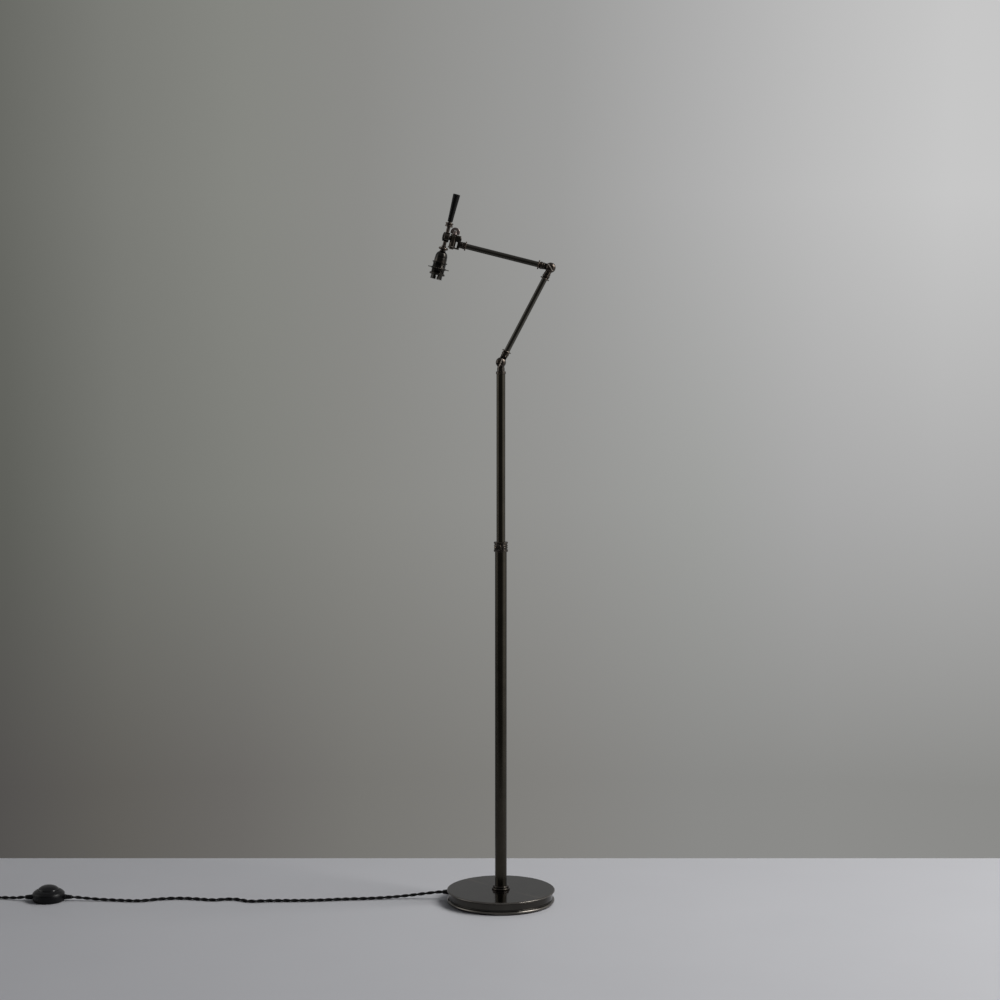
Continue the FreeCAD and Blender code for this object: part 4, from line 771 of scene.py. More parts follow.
def cloth_lead(name):
    """Braided cloth: two sets of yarns that cross over and under on a slant round each core."""
    g = Graph(name)
    uv = g.add("ShaderNodeTexCoord").outputs["UV"]
    sep = g.add("ShaderNodeSeparateXYZ")
    g.link(uv, sep.inputs[0])
    u = g.math("MULTIPLY", sep.outputs[0], 10.0)
    v = g.math("MULTIPLY", sep.outputs[1], 10.0)
    a, b = g.math("ADD", u, v), g.math("SUBTRACT", u, v)
    ya = g.math("ABSOLUTE", g.math("SINE", g.math("MULTIPLY", a, math.pi)))
    yb = g.math("ABSOLUTE", g.math("SINE", g.math("MULTIPLY", b, math.pi)))
    par = g.math("MODULO", g.math("ADD", g.math("FLOOR", a), g.math("FLOOR", b)), 2.0)
    par = g.math("ABSOLUTE", par)
    weave = g.mix(par, ya, yb)
    at = g.place()
    fuzz = g.noise(at, 3800, 3, 0.7)
    # the yarns are lighter on their crowns and darker low in the weave between them: painted shade in the weave
    tone = g.mix(g.ramp(weave, [(0.0, 0.0), (0.75, 1.0)]), (0.0012, 0.0012, 0.0014), (0.0068, 0.0066, 0.0072))
    tone = g.mix(g.ramp(g.noise(at, 150, 3, 0.6), [(0.4, 0.0), (0.8, 0.5)]), tone, (0.011, 0.0105, 0.0115))
    n = g.bump(weave, 0.75, 0.00022)
    n = g.bump(fuzz, 0.35, 0.0001, n)
    g.set(Base_Color=tone, Roughness=g.math("ADD", g.math("MULTIPLY", fuzz, 0.2), 0.68), Normal=n)
    g.set(Sheen_Weight=0.05)
    g.set(Sheen_Roughness=0.5)
    g.set(Specular_IOR_Level=0.2)
    return g.mat


def felt(name):
    g = Graph(name)
    at = g.place()
    fibres = g.noise(g.stretched(at, (1, 3, 1)), 1500, 5, 0.75, 1.5)
    tone = g.mix(fibres, (0.008, 0.008, 0.009), (0.035, 0.034, 0.036))
    n = g.bump(fibres, 0.9, 0.0005)
    g.set(Base_Color=tone, Roughness=0.96, Normal=n)
    g.set(Sheen_Weight=0.3)
    g.set(Sheen_Roughness=0.6)
    return g.mat


def cast(name):
    g = Graph(name)
    at = g.place()
    lumps = g.noise(at, 500, 5, 0.65)
    tone = g.mix(g.noise(at, 90, 4, 0.6), (0.03, 0.029, 0.028), (0.09, 0.085, 0.08))
    tone = g.mix(g.ramp(g.noise(at, 160, 4, 0.6), [(0.58, 0.0), (0.72, 0.7)]), tone, (0.11, 0.05, 0.026))
    g.set(Base_Color=tone, Roughness=0.78, Metallic=0.6, Normal=g.bump(lumps, 0.7, 0.0008))
    return g.mat


def bare_metal(name, col, rough):
    g = Graph(name)
    at = g.place()
    tone = g.mix(g.noise(at, 240, 4, 0.6), tuple(c * 0.75 for c in col), col)
    lines = g.noise(g.stretched(at, (1, 1, 30)), 400, 2, 0.5)
    r = g.math("ADD", g.math("MULTIPLY", g.noise(at, 130, 3, 0.6), 0.16), rough - 0.06)
    g.set(Base_Color=tone, Roughness=r, Metallic=1.0, Normal=g.bump(lines, 0.08, 0.0001))
    return g.mat


MATS = {
    "bronze_plate": bronze("bronze_plate", (0.0405, 0.0383, 0.0343), (0.057, 0.0535, 0.0475), (0.24, 0.19, 0.145), 0.15, 0.5,
                           (1, 1, 1), 0.015, 0.53, 0.62, 0.3, 0.08),
    "bronze_tube": bronze("bronze_tube", (0.036, 0.0325, 0.0255), (0.047, 0.042, 0.033), (0.16, 0.115, 0.075), 0.18, 0.3,
                          (1, 1, 0.05), 0.01, 0.54, 0.64, 0.25, 0.06),
    "bronze_turned": bronze("bronze_turned", (0.029, 0.0265, 0.0235), (0.05, 0.044, 0.038), (0.34, 0.265, 0.2), 0.17, 0.62,
                            None, 0.05, 0.512, 0.58, 0.6),
    "bronze_worn": bronze("bronze_worn", (0.043, 0.036, 0.031), (0.078, 0.064, 0.055), (0.5, 0.41, 0.33), 0.15, 0.65,
                          None, 0.04, 0.505, 0.56, 0.7, 0.1),
    "bronze_arm": bronze("bronze_arm", (0.056, 0.053, 0.046), (0.074, 0.07, 0.06), (0.16, 0.115, 0.075), 0.18, 0.3,
                         (1, 1, 0.05), 0.01, 0.54, 0.64, 0.25, 0.06),
    "bronze_holder": bronze("bronze_holder", (0.0165, 0.016, 0.0145), (0.031, 0.029, 0.026), (0.3, 0.25, 0.2), 0.14, 0.65,
                            None, 0.05, 0.512, 0.58, 0.6),
    "bronze_dome": bronze("bronze_dome", (0.013, 0.0115, 0.0105), (0.03, 0.026, 0.0225), (0.5, 0.4, 0.32), 0.14, 0.8,
                          None, 0.04, 0.508, 0.56, 0.7, 0.1),
    # a lighter copy of the bronze for the thumb screw's coin: painted light, so that its face reads pale grey
    "bronze_coin_painted_light": bronze("bronze_coin_painted_light", (0.125, 0.103, 0.098), (0.2, 0.168, 0.16), (0.6, 0.48, 0.4), 0.3, 0.7,
                          None, 0.05, 0.512, 0.58, 0.8),
    # a brighter copy of the plate bronze for the base's rims: painted highlight
    "bronze_rim_painted_highlight": bronze("bronze_rim_painted_highlight", (0.095, 0.089, 0.08), (0.15, 0.138, 0.124), (0.4, 0.33, 0.27), 0.17, 0.6,
                         None, 0.02, 0.512, 0.58, 0.4, 0.08),
    # pale bare metal for the pivot slots: painted highlight
    "slot_painted_highlight": bare_metal("slot_painted_highlight", (0.93, 0.87, 0.8), 0.42),
    "bronze_dark": bronze("bronze_dark", (0.014, 0.013, 0.012), (0.027, 0.025, 0.023), (0.22, 0.17, 0.13), 0.24, 0.7),
    "brass_plain": bare_metal("brass_plain", (0.66, 0.47, 0.2), 0.24),
    "steel_plain": bare_metal("steel_plain", (0.5, 0.5, 0.51), 0.32),
    "cast_iron": cast("cast_iron"),
    "felt": felt("felt"),
    "nylon": plastic("nylon", (0.55, 0.52, 0.45), 0.45, 0.12, 1800, 0.0, 0.06),
    "flex_sheath": plastic("flex_sheath", (0.4, 0.4, 0.39), 0.5, 0.1, 1500, 0.0, 0.06),
    "black_plastic": plastic("black_plastic", (0.0035, 0.0035, 0.0042), 0.3, 0.14, 2600, 0.0, 0.25, 0.2),
    "black_gloss": plastic("black_gloss", (0.003, 0.003, 0.0036), 0.2, 0.05, 900, 0.1, 0.25, 0.25),
    "grip_black": plastic("grip_black", (0.0035, 0.0035, 0.0032), 0.44, 0.3, 2100, 0.0, 0.25, 0.13),
    "cloth_cord": cloth_lead("cloth_cord"),
}
for node, ob in NODES.items():
    for s in ob.material_slots:
        s.material = MATS[SLOT_OF[node]]


def dress(ob, slot):
    ob.data.materials.clear()
    ob.data.materials.append(MATS[slot])
    return ob


dress(lead_a, "cloth_cord")
dress(lead_b, "cloth_cord")


# ---------------------------------------------------------------- the pieces
def threads(tree):
    """The barrel between the flange and the lower ring, with the shade rings' fine thread cut into it."""
    pts = list(tree[2])
    out = []
    for i, p in enumerate(pts):
        out.append(p)
        q = pts[(i + 1) % len(pts)]
        if abs(p[0] - 14) < 0.01 and abs(q[0] - 14) < 0.01 and abs(q[1] - p[1]) > 10:
            low, high = min(p[1], q[1]) + 1.2, max(p[1], q[1]) - 0.6
            n = int((high - low) / 1.25)
            steps = [(low + (high - low) * k / n) for k in range(n + 1)]
            if q[1] < p[1]:
                steps = steps[::-1]
            for k, z in enumerate(steps[:-1]):
                z2 = (z + steps[k + 1]) / 2
                out += [(14.0, z), (13.55, z2)]
            out.append((14.0, steps[-1]))
    return ("turned", tree[1], out)


def lens(tree):
    """The wing screw's coin with gently domed faces."""
    if isinstance(tree, list):
        return [lens(x) for x in tree]
    if tree[0] == "cyl" and abs(tree[2][0] - 10.0) < 0.01 and abs(tree[2][1] - 3.4) < 0.01:
        return ("turned", tree[1], [(0, 0), (7.4, 0.35, 24), (9.6, 0.95), (10.0, 1.35), (10.0, 2.05), (9.6, 2.45), (7.4, 3.05, 24),
                                    (0, 3.4)])
    return tuple(lens(x) if isinstance(x, (list, tuple)) and x and (isinstance(x, list) and isinstance(x[0], tuple) and isinstance(x[0][0], str)
                                                                   or isinstance(x[0], str)) else x for x in tree)


# the base's side wall sits a little inside its two rims, with a shadow groove above the lower bead
prof = SHAPES["base_cover"][2][2]
i0 = next(i for i, p in enumerate(prof) if p[:2] == (112.6, 7.9))
i1 = next(i for i, p in enumerate(prof) if p[:2] == (112.5, 23.2))
prof[i0:i1 + 1] = [(112.2, 7.9), (111.0, 8.1), (110.8, 8.5), (110.8, 9.7), (111.4, 10.1), (111.7, 10.7), (111.7, 22.5), (112.3, 23.3)]

PLAIN = ["felt_pad", "pole_foot_collar", "lower_tube", "upper_tube", "lower_pivot_nut", "elbow_pivot_nut", "lower_arm_tube",
         "upper_arm_tube", "lower_arm_rings", "upper_arm_rings", "yaw_bolt", "handle_shank", "stem_coupler", "lampholder_cap",
         "plunger_left", "plunger_right", "switch_cover", "switch_button", "lampholder_insert", "lower_pivot_screw",
         "elbow_pivot_screw", "head_cap", "clamp_screw"]
for node in PLAIN:
    remake(node, 0.35)
remake("base_cover", 0.5, skip_cuts=("cyl",))
remake("clamp_collar", 0.3, skip_cuts=("cyl",))
remake("handle_grip", 0.8)
remake("switch_base", 0.6, skip_cuts=("cyl",))
remake("head_drum", 0.4, skip_cuts=("cyl",))
remake("lampholder_barrel", 0.15, tweak=threads)
remake("shade_ring", 0.2, ribs=(40, 0.75, 20.0, -1e3, 1e3))
remake("lower_shade_ring", 0.2, ribs=(48, 0.3, 15.9, -1e3, 1e3))
remake("bayonet_sleeve", 0.12)
for node in ("column_knuckle", "lower_arm_knuckle", "elbow_socket", "upper_arm_knuckle"):
    remake(node, 0.5)
remake("head_yoke", 0.5)
remake("yaw_barrel", 0.5)
remake("yaw_thumb_screw", 0.3, tweak=lens)
LOOK = {"lower_arm_tube": "bronze_arm", "upper_arm_tube": "bronze_arm", "lampholder_cap": "bronze_holder",
        "lampholder_barrel": "bronze_holder", "bayonet_sleeve": "bronze_holder", "shade_ring": "bronze_holder",
        "lower_shade_ring": "bronze_holder", "lower_pivot_screw": "bronze_dome", "elbow_pivot_screw": "bronze_dome",
        "yaw_thumb_screw": "bronze_coin_painted_light"}
for node, ob in MADE.items():
    dress(ob, LOOK.get(node, SLOT_OF[node]))

# the base's rolled rim and bottom bead get a brighter bronze than its flat faces: a painted highlight along both rims
cover = MADE["base_cover"]
cover.data.materials.append(MATS["bronze_rim_painted_highlight"])
for face in cover.data.polygons:
    c = face.center * 1000
    reach = math.hypot(c.x, c.y)
    if (reach > 114.4 and 23.2 < c.z < 27.9) or (reach > 112.6 and 2.4 < c.z < 7.9):
        face.material_index = 1

# the two pivot screws' slot faces get a pale bare-metal colour: a painted highlight for the light their walls catch
for node in ("lower_pivot_screw", "elbow_pivot_screw"):
    ob, back = MADE[node], to_matrix(SHAPES[node][1]).inverted()
    ob.data.materials.append(MATS["slot_painted_highlight"])
    for face in ob.data.polygons:
        c = back @ (face.center * 1000)
        n = back.to_3x3() @ face.normal
        if abs(c.x) < 1.2 and 15.9 < c.z < 18.6 and (n.z > 0.9 and abs(c.z - 16) < 0.05 or abs(n.x) > 0.9):
            face.material_index = 1



# strain reliefs follow the lead as it leaves each housing
def boot(name, line, start, stations, node, hold=24):
    """A tapered ribbed sleeve over the lead. stations are (mm from the start point, outer radius mm)."""
    pts, at = even(line, 0.00025)
    origin = Vector(start)
    i0 = int(np.argmin(np.linalg.norm(pts - np.array(origin), axis=1)))
    base = at[i0]
    rows, radii = [], []
    dense = []
    for k in range(len(stations) - 1):
        (s0, r0), (s1, r1) = stations[k], stations[k + 1]
        n = max(1, int(round((s1 - s0) / 0.25)))
        dense += [(s0 + (s1 - s0) * j / n, r0 + (r1 - r0) * j / n) for j in range(n)]
    dense.append(stations[-1])
    back = line[0] if i0 < 5 else None
    t0 = (pts[min(i0 + 4, len(pts) - 1)] - pts[i0])
    t0 /= np.linalg.norm(t0)
    for s, r in dense:
        d = base + s / 1000
        if d < 0:
            rows.append(pts[0] + t0 * d)
        else:
            rows.append(np.array([np.interp(d, at, pts[:, q]) for q in range(3)]))
        radii.append(r / 1000)
    rows = np.array(rows)
    # keep rings apart where the radius steps
    keep = [0]
    for i in range(1, len(rows)):
        if np.linalg.norm(rows[i] - rows[keep[-1]]) > 2e-5 or abs(radii[i] - radii[keep[-1]]) > 2e-5:
            keep.append(i)
    rows, radii = rows[keep], np.array(radii)[keep]
    t = np.gradient(rows, axis=0)
    for i in range(len(t)):
        if np.linalg.norm(t[i]) < 1e-9:
            t[i] = t[i - 1]
    t /= np.linalg.norm(t, axis=1)[:, None]
    side = np.cross(np.array([0, 0, 1.0]), t)
    side /= np.linalg.norm(side, axis=1)[:, None]
    v, f, uv = tube_arrays(rows, radii, 40, 0, side, np.cross(t, side))
    ob = new_object(name, v, f, uv)
    settle(ob, 50)
    return ob


def ribbed(start, stop, r0, r1, count, groove=0.55):
    """Stations for a tapering sleeve with grooves round it."""
    out = []
    for k in range(count):
        a = start + (stop - start) * k / count
        b = start + (stop - start) * (k + 1) / count
        ra = r0 + (r1 - r0) * k / count
        rb = r0 + (r1 - r0) * (k + 1) / count
        w = (b - a)
        out += [(a, ra - groove), (a + 0.12 * w, ra - groove), (a + 0.2 * w, ra), (b - 0.2 * w, rb), (b - 0.12 * w, rb - groove)]
    out.append((stop, r1 - groove))
    return out


start_a = gland_at(0.106)
gland_boot = boot("cord_gland_fine", line_a, start_a,
                  [(-3.4, 7.6), (-3.0, 7.9), (2.4, 7.9), (2.9, 7.5), (2.9, 5.9), (7.6, 5.9), (8.0, 5.5)] +
                  ribbed(8.2, 16.0, 5.5, 4.9, 4, 0.5) + [(16.4, 4.7), (20.6, 4.25), (21.0, 3.9)], "cord_gland")
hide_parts("cord_gland")
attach(gland_boot, body_of("cord_gland"))
dress(gland_boot, SLOT_OF["cord_gland"])
for k, (line, start) in enumerate(((line_a[::-1], (SX + 0.031, SY, 0.0085)), (line_b, (SX - 0.031, SY, 0.0085)))):
    ob = boot("switch_boot_%d" % k, line, start,
              [(-3.2, 5.4), (-2.9, 5.7), (-0.8, 5.7), (-0.7, 4.9), (3.6, 4.9), (3.7, 5.7), (5.6, 5.7), (6.0, 5.4)] +
              ribbed(6.2, 14.6, 5.3, 4.5, 4, 0.5) + [(15.0, 4.4), (18.6, 4.1), (19.0, 3.8)], "switch_glands")
    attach(ob, body_of("switch_glands"))
    dress(ob, SLOT_OF["switch_glands"])
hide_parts("switch_glands")


# ---------------------------------------------------------------- the plug, on its back
PX, PY = KX - 0.100, KY + KM + 0.005
PLUG = Matrix.Translation((PX, PY, 0)) @ Matrix.Rotation(math.pi, 4, "Z") @ Matrix.Scale(0.001, 4)


def plug_outline(inset, per=7):
    """The plug's rounded outline, pulled in by inset."""
    h, w = 25 - inset, 25 - inset
    pts = [(-h, -w * 0.62), (-h + 4, -w * 0.8), (-h + 17, -w), (h - 9, -w), (h - 2, -w + 5), (h, -w + 12), (h, w - 12),
           (h - 2, w - 5), (h - 9, w), (-h + 17, w), (-h + 4, w * 0.8), (-h, w * 0.62)]
    out = []
    n = len(pts)
    for i in range(n):
        a, b, c = Vector(pts[i - 1]), Vector(pts[i]), Vector(pts[(i + 1) % n])
        d = min(4.5, 0.42 * (a - b).length, 0.42 * (c - b).length)
        p, q = b + (a - b).normalized() * d, b + (c - b).normalized() * d
        for k in range(per):
            t = k / (per - 1)
            e = p * (1 - t) ** 2 + b * 2 * t * (1 - t) + q * t * t
            out.append((e.x, e.y))
    return out


def stacked(name, layers):
    """A solid from outlines of equal count at rising heights, closed top and bottom."""
    bm = bmesh.new()
    rings = [[bm.verts.new((x, y, z)) for x, y in outline] for z, outline in layers]
    n = len(rings[0])
    for a, b in zip(rings, rings[1:]):
        for j in range(n):
            bm.faces.new((a[j], a[(j + 1) % n], b[(j + 1) % n], b[j]))
    bm.faces.new(list(reversed(rings[0])))
    bm.faces.new(rings[-1])
    bmesh.ops.recalc_face_normals(bm, faces=bm.faces)
    return bm_to_object(bm, name)


def rounded_box(name, lo, hi, ease, steps=3):
    bm = bmesh.new()
    bmesh.ops.create_cube(bm, size=1.0)
    for v in bm.verts:
        v.co = Vector([lo[k] + (v.co[k] + 0.5) * (hi[k] - lo[k]) for k in range(3)])
    if ease > 0:
        bmesh.ops.bevel(bm, geom=bm.edges[:], offset=ease, segments=steps, affect="EDGES", profile=0.5, clamp_overlap=True)
    bmesh.ops.recalc_face_normals(bm, faces=bm.faces)
    return bm_to_object(bm, name)


def grooves(outline, depth):
    """Finger grooves across the plug's two long sides."""
    out = []
    for x, y in outline:
        if abs(y) > 20 and -10 < x < 16:
            y -= math.copysign(depth * (0.5 - 0.5 * math.cos(2 * math.pi * (x + 10) / 3.25)) ** 0.8, y)
        out.append((x, y))
    return out


def denser(outline, step=0.4):
    out = []
    n = len(outline)
    for i in range(n):
        a, b = outline[i], outline[(i + 1) % n]
        k = max(1, int(math.hypot(b[0] - a[0], b[1] - a[1]) / step))
        out += [(a[0] + (b[0] - a[0]) * j / k, a[1] + (b[1] - a[1]) * j / k) for j in range(k)]
    return out


def shrunk(outline, by):
    """The same points moved inward, so that every layer has the same count."""
    n = len(outline)
    out = []
    for i, (x, y) in enumerate(outline):
        ax, ay = outline[i - 1]
        bx, by_ = outline[(i + 1) % n]
        tx, ty = bx - ax, by_ - ay
        ll = math.hypot(tx, ty) or 1
        out.append((x - ty / ll * by, y + tx / ll * by))
    return out


side = denser(plug_outline(0.0))
area = sum(side[i - 1][0] * side[i][1] - side[i][0] * side[i - 1][1] for i in range(len(side)))
if area < 0:
    side = side[::-1]
grip = grooves(side, 0.8)
cover = stacked("plug_cover_fine", [(0.0, shrunk(side, 3.2)), (0.25, shrunk(side, 2.0)), (0.9, shrunk(side, 1.1)),
                                    (1.9, shrunk(grip, 0.6)), (3.2, shrunk(grip, 0.4)), (9.3, shrunk(grip, 0.4)), (9.6, shrunk(grip, 0.55)),
                                    (9.75, shrunk(side, 0.9))])
front = stacked("plug_base_fine", [(9.9, shrunk(side, 0.5)), (10.05, shrunk(side, 0.15)), (10.3, shrunk(side, 0.0)), (14.4, shrunk(side, 0.0)),
                                   (16.2, shrunk(side, 0.45)), (17.2, shrunk(side, 1.1)), (17.75, shrunk(side, 2.0)),
                                   (18.0, shrunk(side, 3.2))])
# the slot for the fuse between the pins, and the screw in the middle
front = combine(front, rounded_box("t1", (-13.2, -5.2, 16.9), (-4.4, 5.2, 20), 0.5), "DIFFERENCE")
front = combine(front, bm_to_object(spun([(0, 16.4), (3.3, 16.4), (3.3, 20), (0, 20)], 40), "t2"), "DIFFERENCE")
for piece, node in ((cover, "plug_cover"), (front, "plug_base")):
    piece.data.transform(PLUG)
    settle(piece, 34)
    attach(piece, "base")
    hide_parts(node)
    dress(piece, SLOT_OF[node])


def pin(name, lo, hi, sleeve):
    """A flat pin with eased edges and a tapered tip; the first length may wear a black sleeve."""
    cx, cy = (lo[0] + hi[0]) / 2, (lo[1] + hi[1]) / 2
    hx, hy = (hi[0] - lo[0]) / 2, (hi[1] - lo[1]) / 2

    def ring(f, g, c=0.55):
        a, b = hx * f, hy * g
        c = min(c, a * 0.6, b * 0.6)
        return [(cx + x, cy + y) for x, y in ((-a + c, -b), (a - c, -b), (a, -b + c), (a, b - c), (a - c, b), (-a + c, b),
                                              (-a, b - c), (-a, -b + c))]
    top = hi[2]
    brass = stacked(name, [(lo[2], ring(0.93, 0.93)), (top - 2.6, ring(0.93, 0.93)), (top - 1.2, ring(0.78, 0.86)),
                           (top - 0.3, ring(0.5, 0.74)), (top, ring(0.34, 0.66))])
    coat = None
    if sleeve:
        coat = stacked(name + "_sleeve", [(lo[2] + 5.2, ring(1, 1)), (sleeve - 0.3, ring(1, 1)), (sleeve, ring(0.96, 0.96))])
    return brass, coat


brass_parts, coat_parts = [], []
for tag, lo, hi, sl in (("earth", (8.0, -2.0, 11.0), (16.0, 2.0, 40.7), 0), ("left", (-12.2, -14.3, 11.0), (-8.2, -7.95, 35.7), 27.0),
                        ("right", (-12.2, 7.95, 11.0), (-8.2, 14.3, 35.7), 27.0)):
    b, c = pin("pin_" + tag, lo, hi, sl)
    brass_parts.append(b)
    if c:
        coat_parts.append(c)


def joined(name, parts):
    bm = bmesh.new()
    for p in parts:
        bm.from_mesh(p.data)
        old = p.data
        bpy.data.objects.remove(p)
        bpy.data.meshes.remove(old)
    return bm_to_object(bm, name)


screw = bm_to_object(spun(eased([(0, 16.4), (2.7, 16.4), (2.7, 17.1), (2.2, 17.6), (0, 17.8)], 0.2), 40), "screw")
screw = combine(screw, rounded_box("t", (-0.4, -4, 17.1), (0.4, 4, 19), 0), "DIFFERENCE")
fuse_lid = rounded_box("fuse_lid", (-12.9, -4.9, 16.4), (-4.7, 4.9, 17.4), 0.35)
fuse_lid = combine(fuse_lid, rounded_box("t", (-9.3, -3.4, 17.15), (-8.3, 3.4, 19), 0), "DIFFERENCE")
pins = joined("plug_pins_fine", brass_parts + [screw])
coats = joined("plug_pin_sleeves", coat_parts + [fuse_lid])
for piece, slot in ((pins, "brass_plain"), (coats, "black_plastic")):
    piece.data.transform(PLUG)
    settle(piece, 34)
    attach(piece, "base")
    dress(piece, slot)
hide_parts("plug_pins")

plug_boot = boot("plug_boot", line_b[::-1], (KX - 0.084, KY + KM + 0.005, 0.009),
                 [(-2.5, 5.0), (9.0, 5.0), (9.3, 4.9)] + ribbed(9.4, 18.6, 5.2, 4.6, 5, 0.45) + [(19.0, 4.4), (23.4, 4.1), (23.8, 3.8)], "plug_base")
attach(plug_boot, "base")
dress(plug_boot, "black_plastic")


# ---------------------------------------------------------------- the coil's tie: a strap with a turned-under tail
def strap(name, path, width, thick):
    """A flat band along a closed path in the XZ plane of its own frame."""
    pts = np.array(path, float)
    n = len(pts)
    t = np.roll(pts, -1, 0) - np.roll(pts, 1, 0)
    t /= np.linalg.norm(t, axis=1)[:, None]
    out = np.stack([t[:, 1], -t[:, 0]], 1)
    bm = bmesh.new()
    prof = [(-0.5, 0.0), (-0.47, 0.5), (-0.3, 0.75), (0.3, 0.75), (0.47, 0.5), (0.5, 0.0), (0.47, -0.15), (-0.47, -0.15)]
    rings = []
    for i in range(n):
        ring = []
        for w, h in prof:
            p = pts[i] + out[i] * h * thick
            ring.append(bm.verts.new((p[0], w * width, p[1])))
        rings.append(ring)
    m = len(prof)
    for i in range(n):
        for j in range(m):
            bm.faces.new((rings[i][j], rings[i][(j + 1) % m], rings[(i + 1) % n][(j + 1) % m], rings[(i + 1) % n][j]))
    bmesh.ops.recalc_face_normals(bm, faces=bm.faces)
    return bm_to_object(bm, name)


def tie_path():
    """The closed path a tight strap takes round the strands of the coil, in its own upright plane."""
    c, d = math.cos(math.radians(-40)), math.sin(math.radians(-40))
    pts = []
    for v in lead_b.data.vertices:
        x, y = v.co.x - KX, v.co.y - KY
        along_, across_ = x * c + y * d, -x * d + y * c
        if along_ > 0.02 and abs(across_) < 0.0035:
            pts.append((along_ * 1000, v.co.z * 1000))
    pts = sorted(set((round(p[0], 2), round(p[1], 2)) for p in pts))

    def half(seq):
        out = []
        for p in seq:
            while len(out) > 1 and (out[-1][0] - out[-2][0]) * (p[1] - out[-2][1]) <= (out[-1][1] - out[-2][1]) * (p[0] - out[-2][0]):
                out.pop()
            out.append(p)
        return out[:-1]
    hull = half(pts) + half(pts[::-1])
    # out by a little, sampled evenly and eased
    n = len(hull)
    run = [0.0]
    for i in range(n):
        run.append(run[-1] + math.dist(hull[i], hull[(i + 1) % n]))
    xs = [p[0] for p in hull] + [hull[0][0]]
    zs = [p[1] for p in hull] + [hull[0][1]]
    at = np.linspace(0, run[-1], 73)[:-1]
    p = np.stack([np.interp(at, run, xs), np.interp(at, run, zs)], 1)
    for _ in range(3):
        p = (np.roll(p, 1, 0) + 2 * p + np.roll(p, -1, 0)) / 4
    t = np.roll(p, -1, 0) - np.roll(p, 1, 0)
    t /= np.linalg.norm(t, axis=1)[:, None]
    p = p + np.stack([t[:, 1], -t[:, 0]], 1) * 0.35
    p[:, 1] = np.maximum(p[:, 1], 0.25)
    return p


loop = tie_path()
top_i = int(np.argmax(loop[:, 1]))
tie = strap("coil_tie_fine", loop, 6.2, 0.9)
tz = float(loop[top_i, 1]) + 0.55
tail = rounded_box("tie_tail", (float(loop[:, 0].mean()) - 3.2, -2.9, tz - 0.2), (float(loop[:, 0].mean()) + 3.6, 2.9, min(tz + 1.5, 23.1)), 0.35)
tie = joined("coil_tie_fine", [tie, tail])
tie.data.transform(Matrix.Translation((KX, KY, 0)) @ Matrix.Rotation(math.radians(-40), 4, "Z") @ Matrix.Scale(0.001, 4))
settle(tie, 40)
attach(tie, "base")
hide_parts("coil_tie")
dress(tie, SLOT_OF["coil_tie"])


# ---------------------------------------------------------------- floor, lights and surroundings
def make_floor():
    bm = bmesh.new()
    lo, hi = (-3.0, -1.25), (3.0, 0.38)
    vs = [bm.verts.new((x, y, 0.0)) for x, y in ((lo[0], lo[1]), (hi[0], lo[1]), (hi[0], hi[1]), (lo[0], hi[1]))]
    bm.faces.new(vs)
    ob = bm_to_object(bm, "studio_floor")
    g = Graph("studio_floor")
    at = g.place()
    tone = g.mix(g.noise(at, 3.0, 4, 0.5), (0.60, 0.605, 0.635), (0.64, 0.645, 0.675))
    g.set(Base_Color=tone, Roughness=0.62, Normal=g.bump(g.noise(at, 160, 3, 0.5), 0.04, 0.001))
    g.set(Specular_IOR_Level=0.3)
    ob.data.materials.append(g.mat)


make_floor()


def area(name, place, target, size, watts, colour=(1, 1, 1), seen=True):
    li = bpy.data.lights.new(name, "AREA")
    li.shape = "RECTANGLE"
    li.size, li.size_y = size
    li.energy = watts
    li.color = colour
    ob = bpy.data.objects.new(name, li)
    ob.location = place
    ob.rotation_euler = (Vector(target) - Vector(place)).to_track_quat("-Z", "Y").to_euler()
    ob.visible_glossy = seen
    SC.collection.objects.link(ob)
    return ob


area("key", (2.7, -0.5, 3.1), (0.0, 0.0, 0.5), (2.0, 2.0), 119, (1.0, 0.99, 0.975))
area("back_soft", (0.9, 2.6, 3.0), (0.0, 0.0, 0.3), (2.4, 1.4), 13, (0.96, 0.98, 1.0), False)


def to_linear(c):
    c /= 255.0
    return c / 12.92 if c <= 0.04045 else ((c + 0.055) / 1.055) ** 2.4


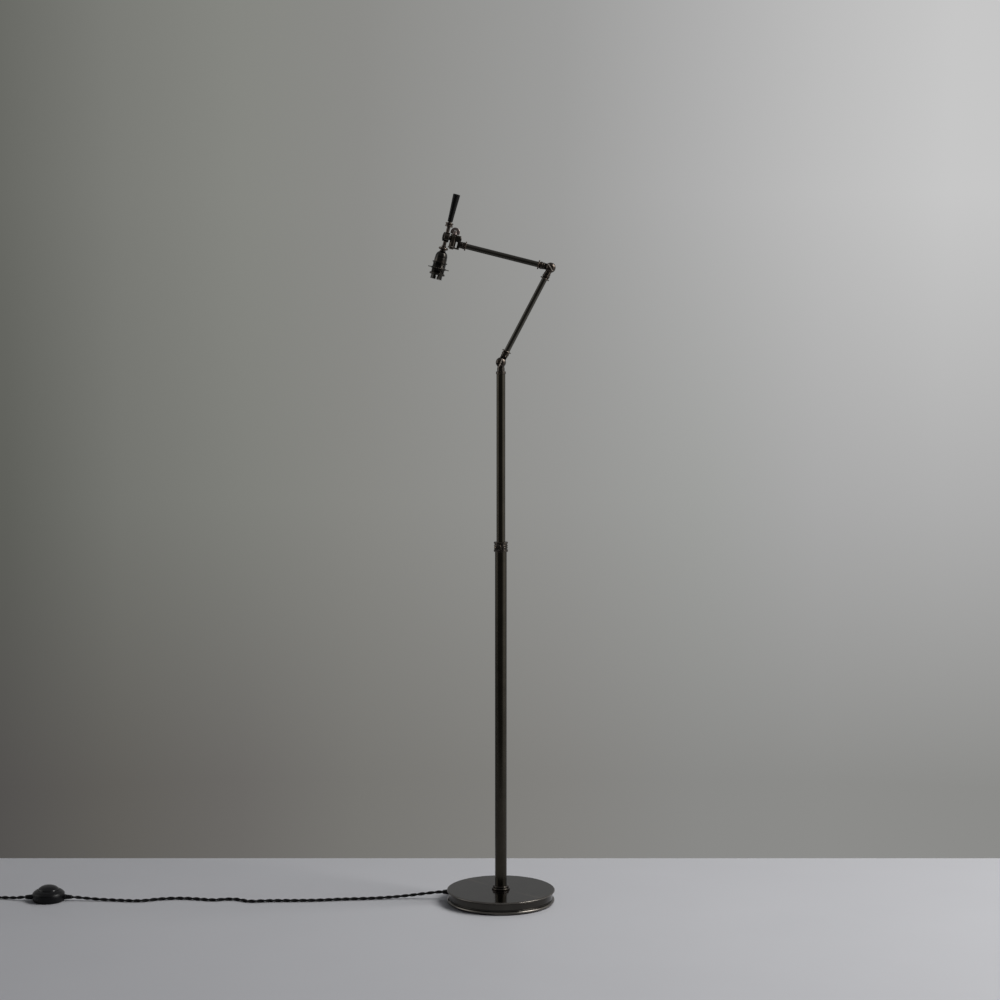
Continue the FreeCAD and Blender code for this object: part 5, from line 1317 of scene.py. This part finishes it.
def make_world():
    world = bpy.data.worlds.new("studio")
    SC.world = world
    world.use_nodes = True
    t = world.node_tree
    for n in list(t.nodes):
        t.nodes.remove(n)
    out = t.nodes.new("ShaderNodeOutputWorld")
    coord = t.nodes.new("ShaderNodeTexCoord")
    sep = t.nodes.new("ShaderNodeSeparateXYZ")
    t.links.new(coord.outputs["Generated"], sep.inputs[0])

    def ramp(fac, stops, ease="EASE"):
        n = t.nodes.new("ShaderNodeValToRGB")
        n.color_ramp.interpolation = ease
        e = n.color_ramp.elements
        while len(e) < len(stops):
            e.new(0.5)
        for el, (at, col) in zip(e, stops):
            el.position = at
            el.color = (*[to_linear(c) for c in col], 1) if hasattr(col, "__len__") else (col, col, col, 1)
        t.links.new(fac, n.inputs["Fac"])
        return n.outputs["Color"]

    def mapped(value, lo, hi):
        n = t.nodes.new("ShaderNodeMapRange")
        n.inputs["From Min"].default_value = lo
        n.inputs["From Max"].default_value = hi
        t.links.new(value, n.inputs["Value"])
        return n.outputs["Result"]

    def blend(fac, a, b):
        n = t.nodes.new("ShaderNodeMix")
        n.data_type = "RGBA"
        t.links.new(fac, n.inputs["Factor"])
        t.links.new(a, n.inputs[6])
        t.links.new(b, n.inputs[7])
        return n.outputs[2]

    # the wall behind, seen only by camera rays: painted light falloff, brighter to the right and darker low down
    across = mapped(sep.outputs[0], -0.235, 0.235)
    cols = (0.01, 0.12, 0.24, 0.36, 0.56, 0.70, 0.82, 0.94)
    top = ramp(across, list(zip(cols, ((104, 105, 100), (122, 123, 118), (133, 134, 129), (139, 139, 136), (156, 156, 155),
                                       (174, 174, 174), (188, 188, 188), (199, 199, 199)))), "LINEAR")
    mid = ramp(across, list(zip(cols, ((94, 95, 90), (115, 116, 111), (126, 127, 122), (135, 135, 131), (148, 148, 146),
                                       (158, 159, 157), (168, 168, 168), (173, 173, 173)))), "LINEAR")
    low = ramp(across, list(zip(cols, ((83, 81, 79), (96, 94, 90), (106, 104, 101), (118, 117, 113), (130, 129, 126),
                                       (137, 137, 135), (140, 140, 138), (140, 140, 138)))), "LINEAR")
    wall = blend(mapped(sep.outputs[2], -0.075, 0.069), mid, top)
    wall = blend(mapped(sep.outputs[2], -0.075, -0.205), wall, low)

    # what the metal sees: dark towards the viewer, a bright side to the right, a narrow strip on the left
    turn = t.nodes.new("ShaderNodeMath")
    turn.operation = "ARCTAN2"
    neg = t.nodes.new("ShaderNodeMath")
    neg.operation = "MULTIPLY"
    neg.inputs[1].default_value = -1.0
    t.links.new(sep.outputs[1], neg.inputs[0])
    t.links.new(sep.outputs[0], turn.inputs[0])
    t.links.new(neg.outputs[0], turn.inputs[1])
    round_ = mapped(turn.outputs[0], -math.pi, math.pi)      # 0.5 is the viewer's side, 0.75 the right

    def deg(a):
        return 0.5 + a / 360.0
    level = ramp(round_, [
        (deg(-178), 0.25), (deg(-140), 0.24), (deg(-116), 0.30), (deg(-104), 1.0), (deg(-92), 1.5), (deg(-76), 1.5), (deg(-64), 0.35),
        (deg(-48), 0.12), (deg(12), 0.12), (deg(34), 0.16), (deg(54), 1.2), (deg(78), 1.5), (deg(100), 0.95), (deg(128), 0.5),
        (deg(178), 0.26)], "LINEAR")
    low_level = ramp(round_, [
        (deg(-178), 0.22), (deg(-140), 0.12), (deg(-100), 0.10), (deg(-60), 0.09), (deg(-20), 0.09), (deg(12), 0.10), (deg(30), 0.20),
        (deg(46), 0.55), (deg(66), 0.95), (deg(90), 0.62), (deg(120), 0.50), (deg(150), 0.34), (deg(178), 0.23)], "LINEAR")
    room = blend(mapped(sep.outputs[2], -0.15, -0.06), low_level, level)
    ceiling = t.nodes.new("ShaderNodeRGB")
    ceiling.outputs[0].default_value = (0.34, 0.34, 0.345, 1)
    room = blend(mapped(sep.outputs[2], 0.35, 0.8), room, ceiling.outputs[0])

    path = t.nodes.new("ShaderNodeLightPath")
    soft = t.nodes.new("ShaderNodeRGB")
    soft.outputs[0].default_value = (0.078, 0.080, 0.084, 1)
    seen = blend(path.outputs["Is Glossy Ray"], soft.outputs[0], room)
    shown = blend(path.outputs["Is Camera Ray"], seen, wall)
    bg = t.nodes.new("ShaderNodeBackground")
    t.links.new(shown, bg.inputs["Color"])
    t.links.new(bg.outputs[0], out.inputs["Surface"])


make_world()
SC.view_settings.view_transform = "Standard"
SC.view_settings.look = "None"
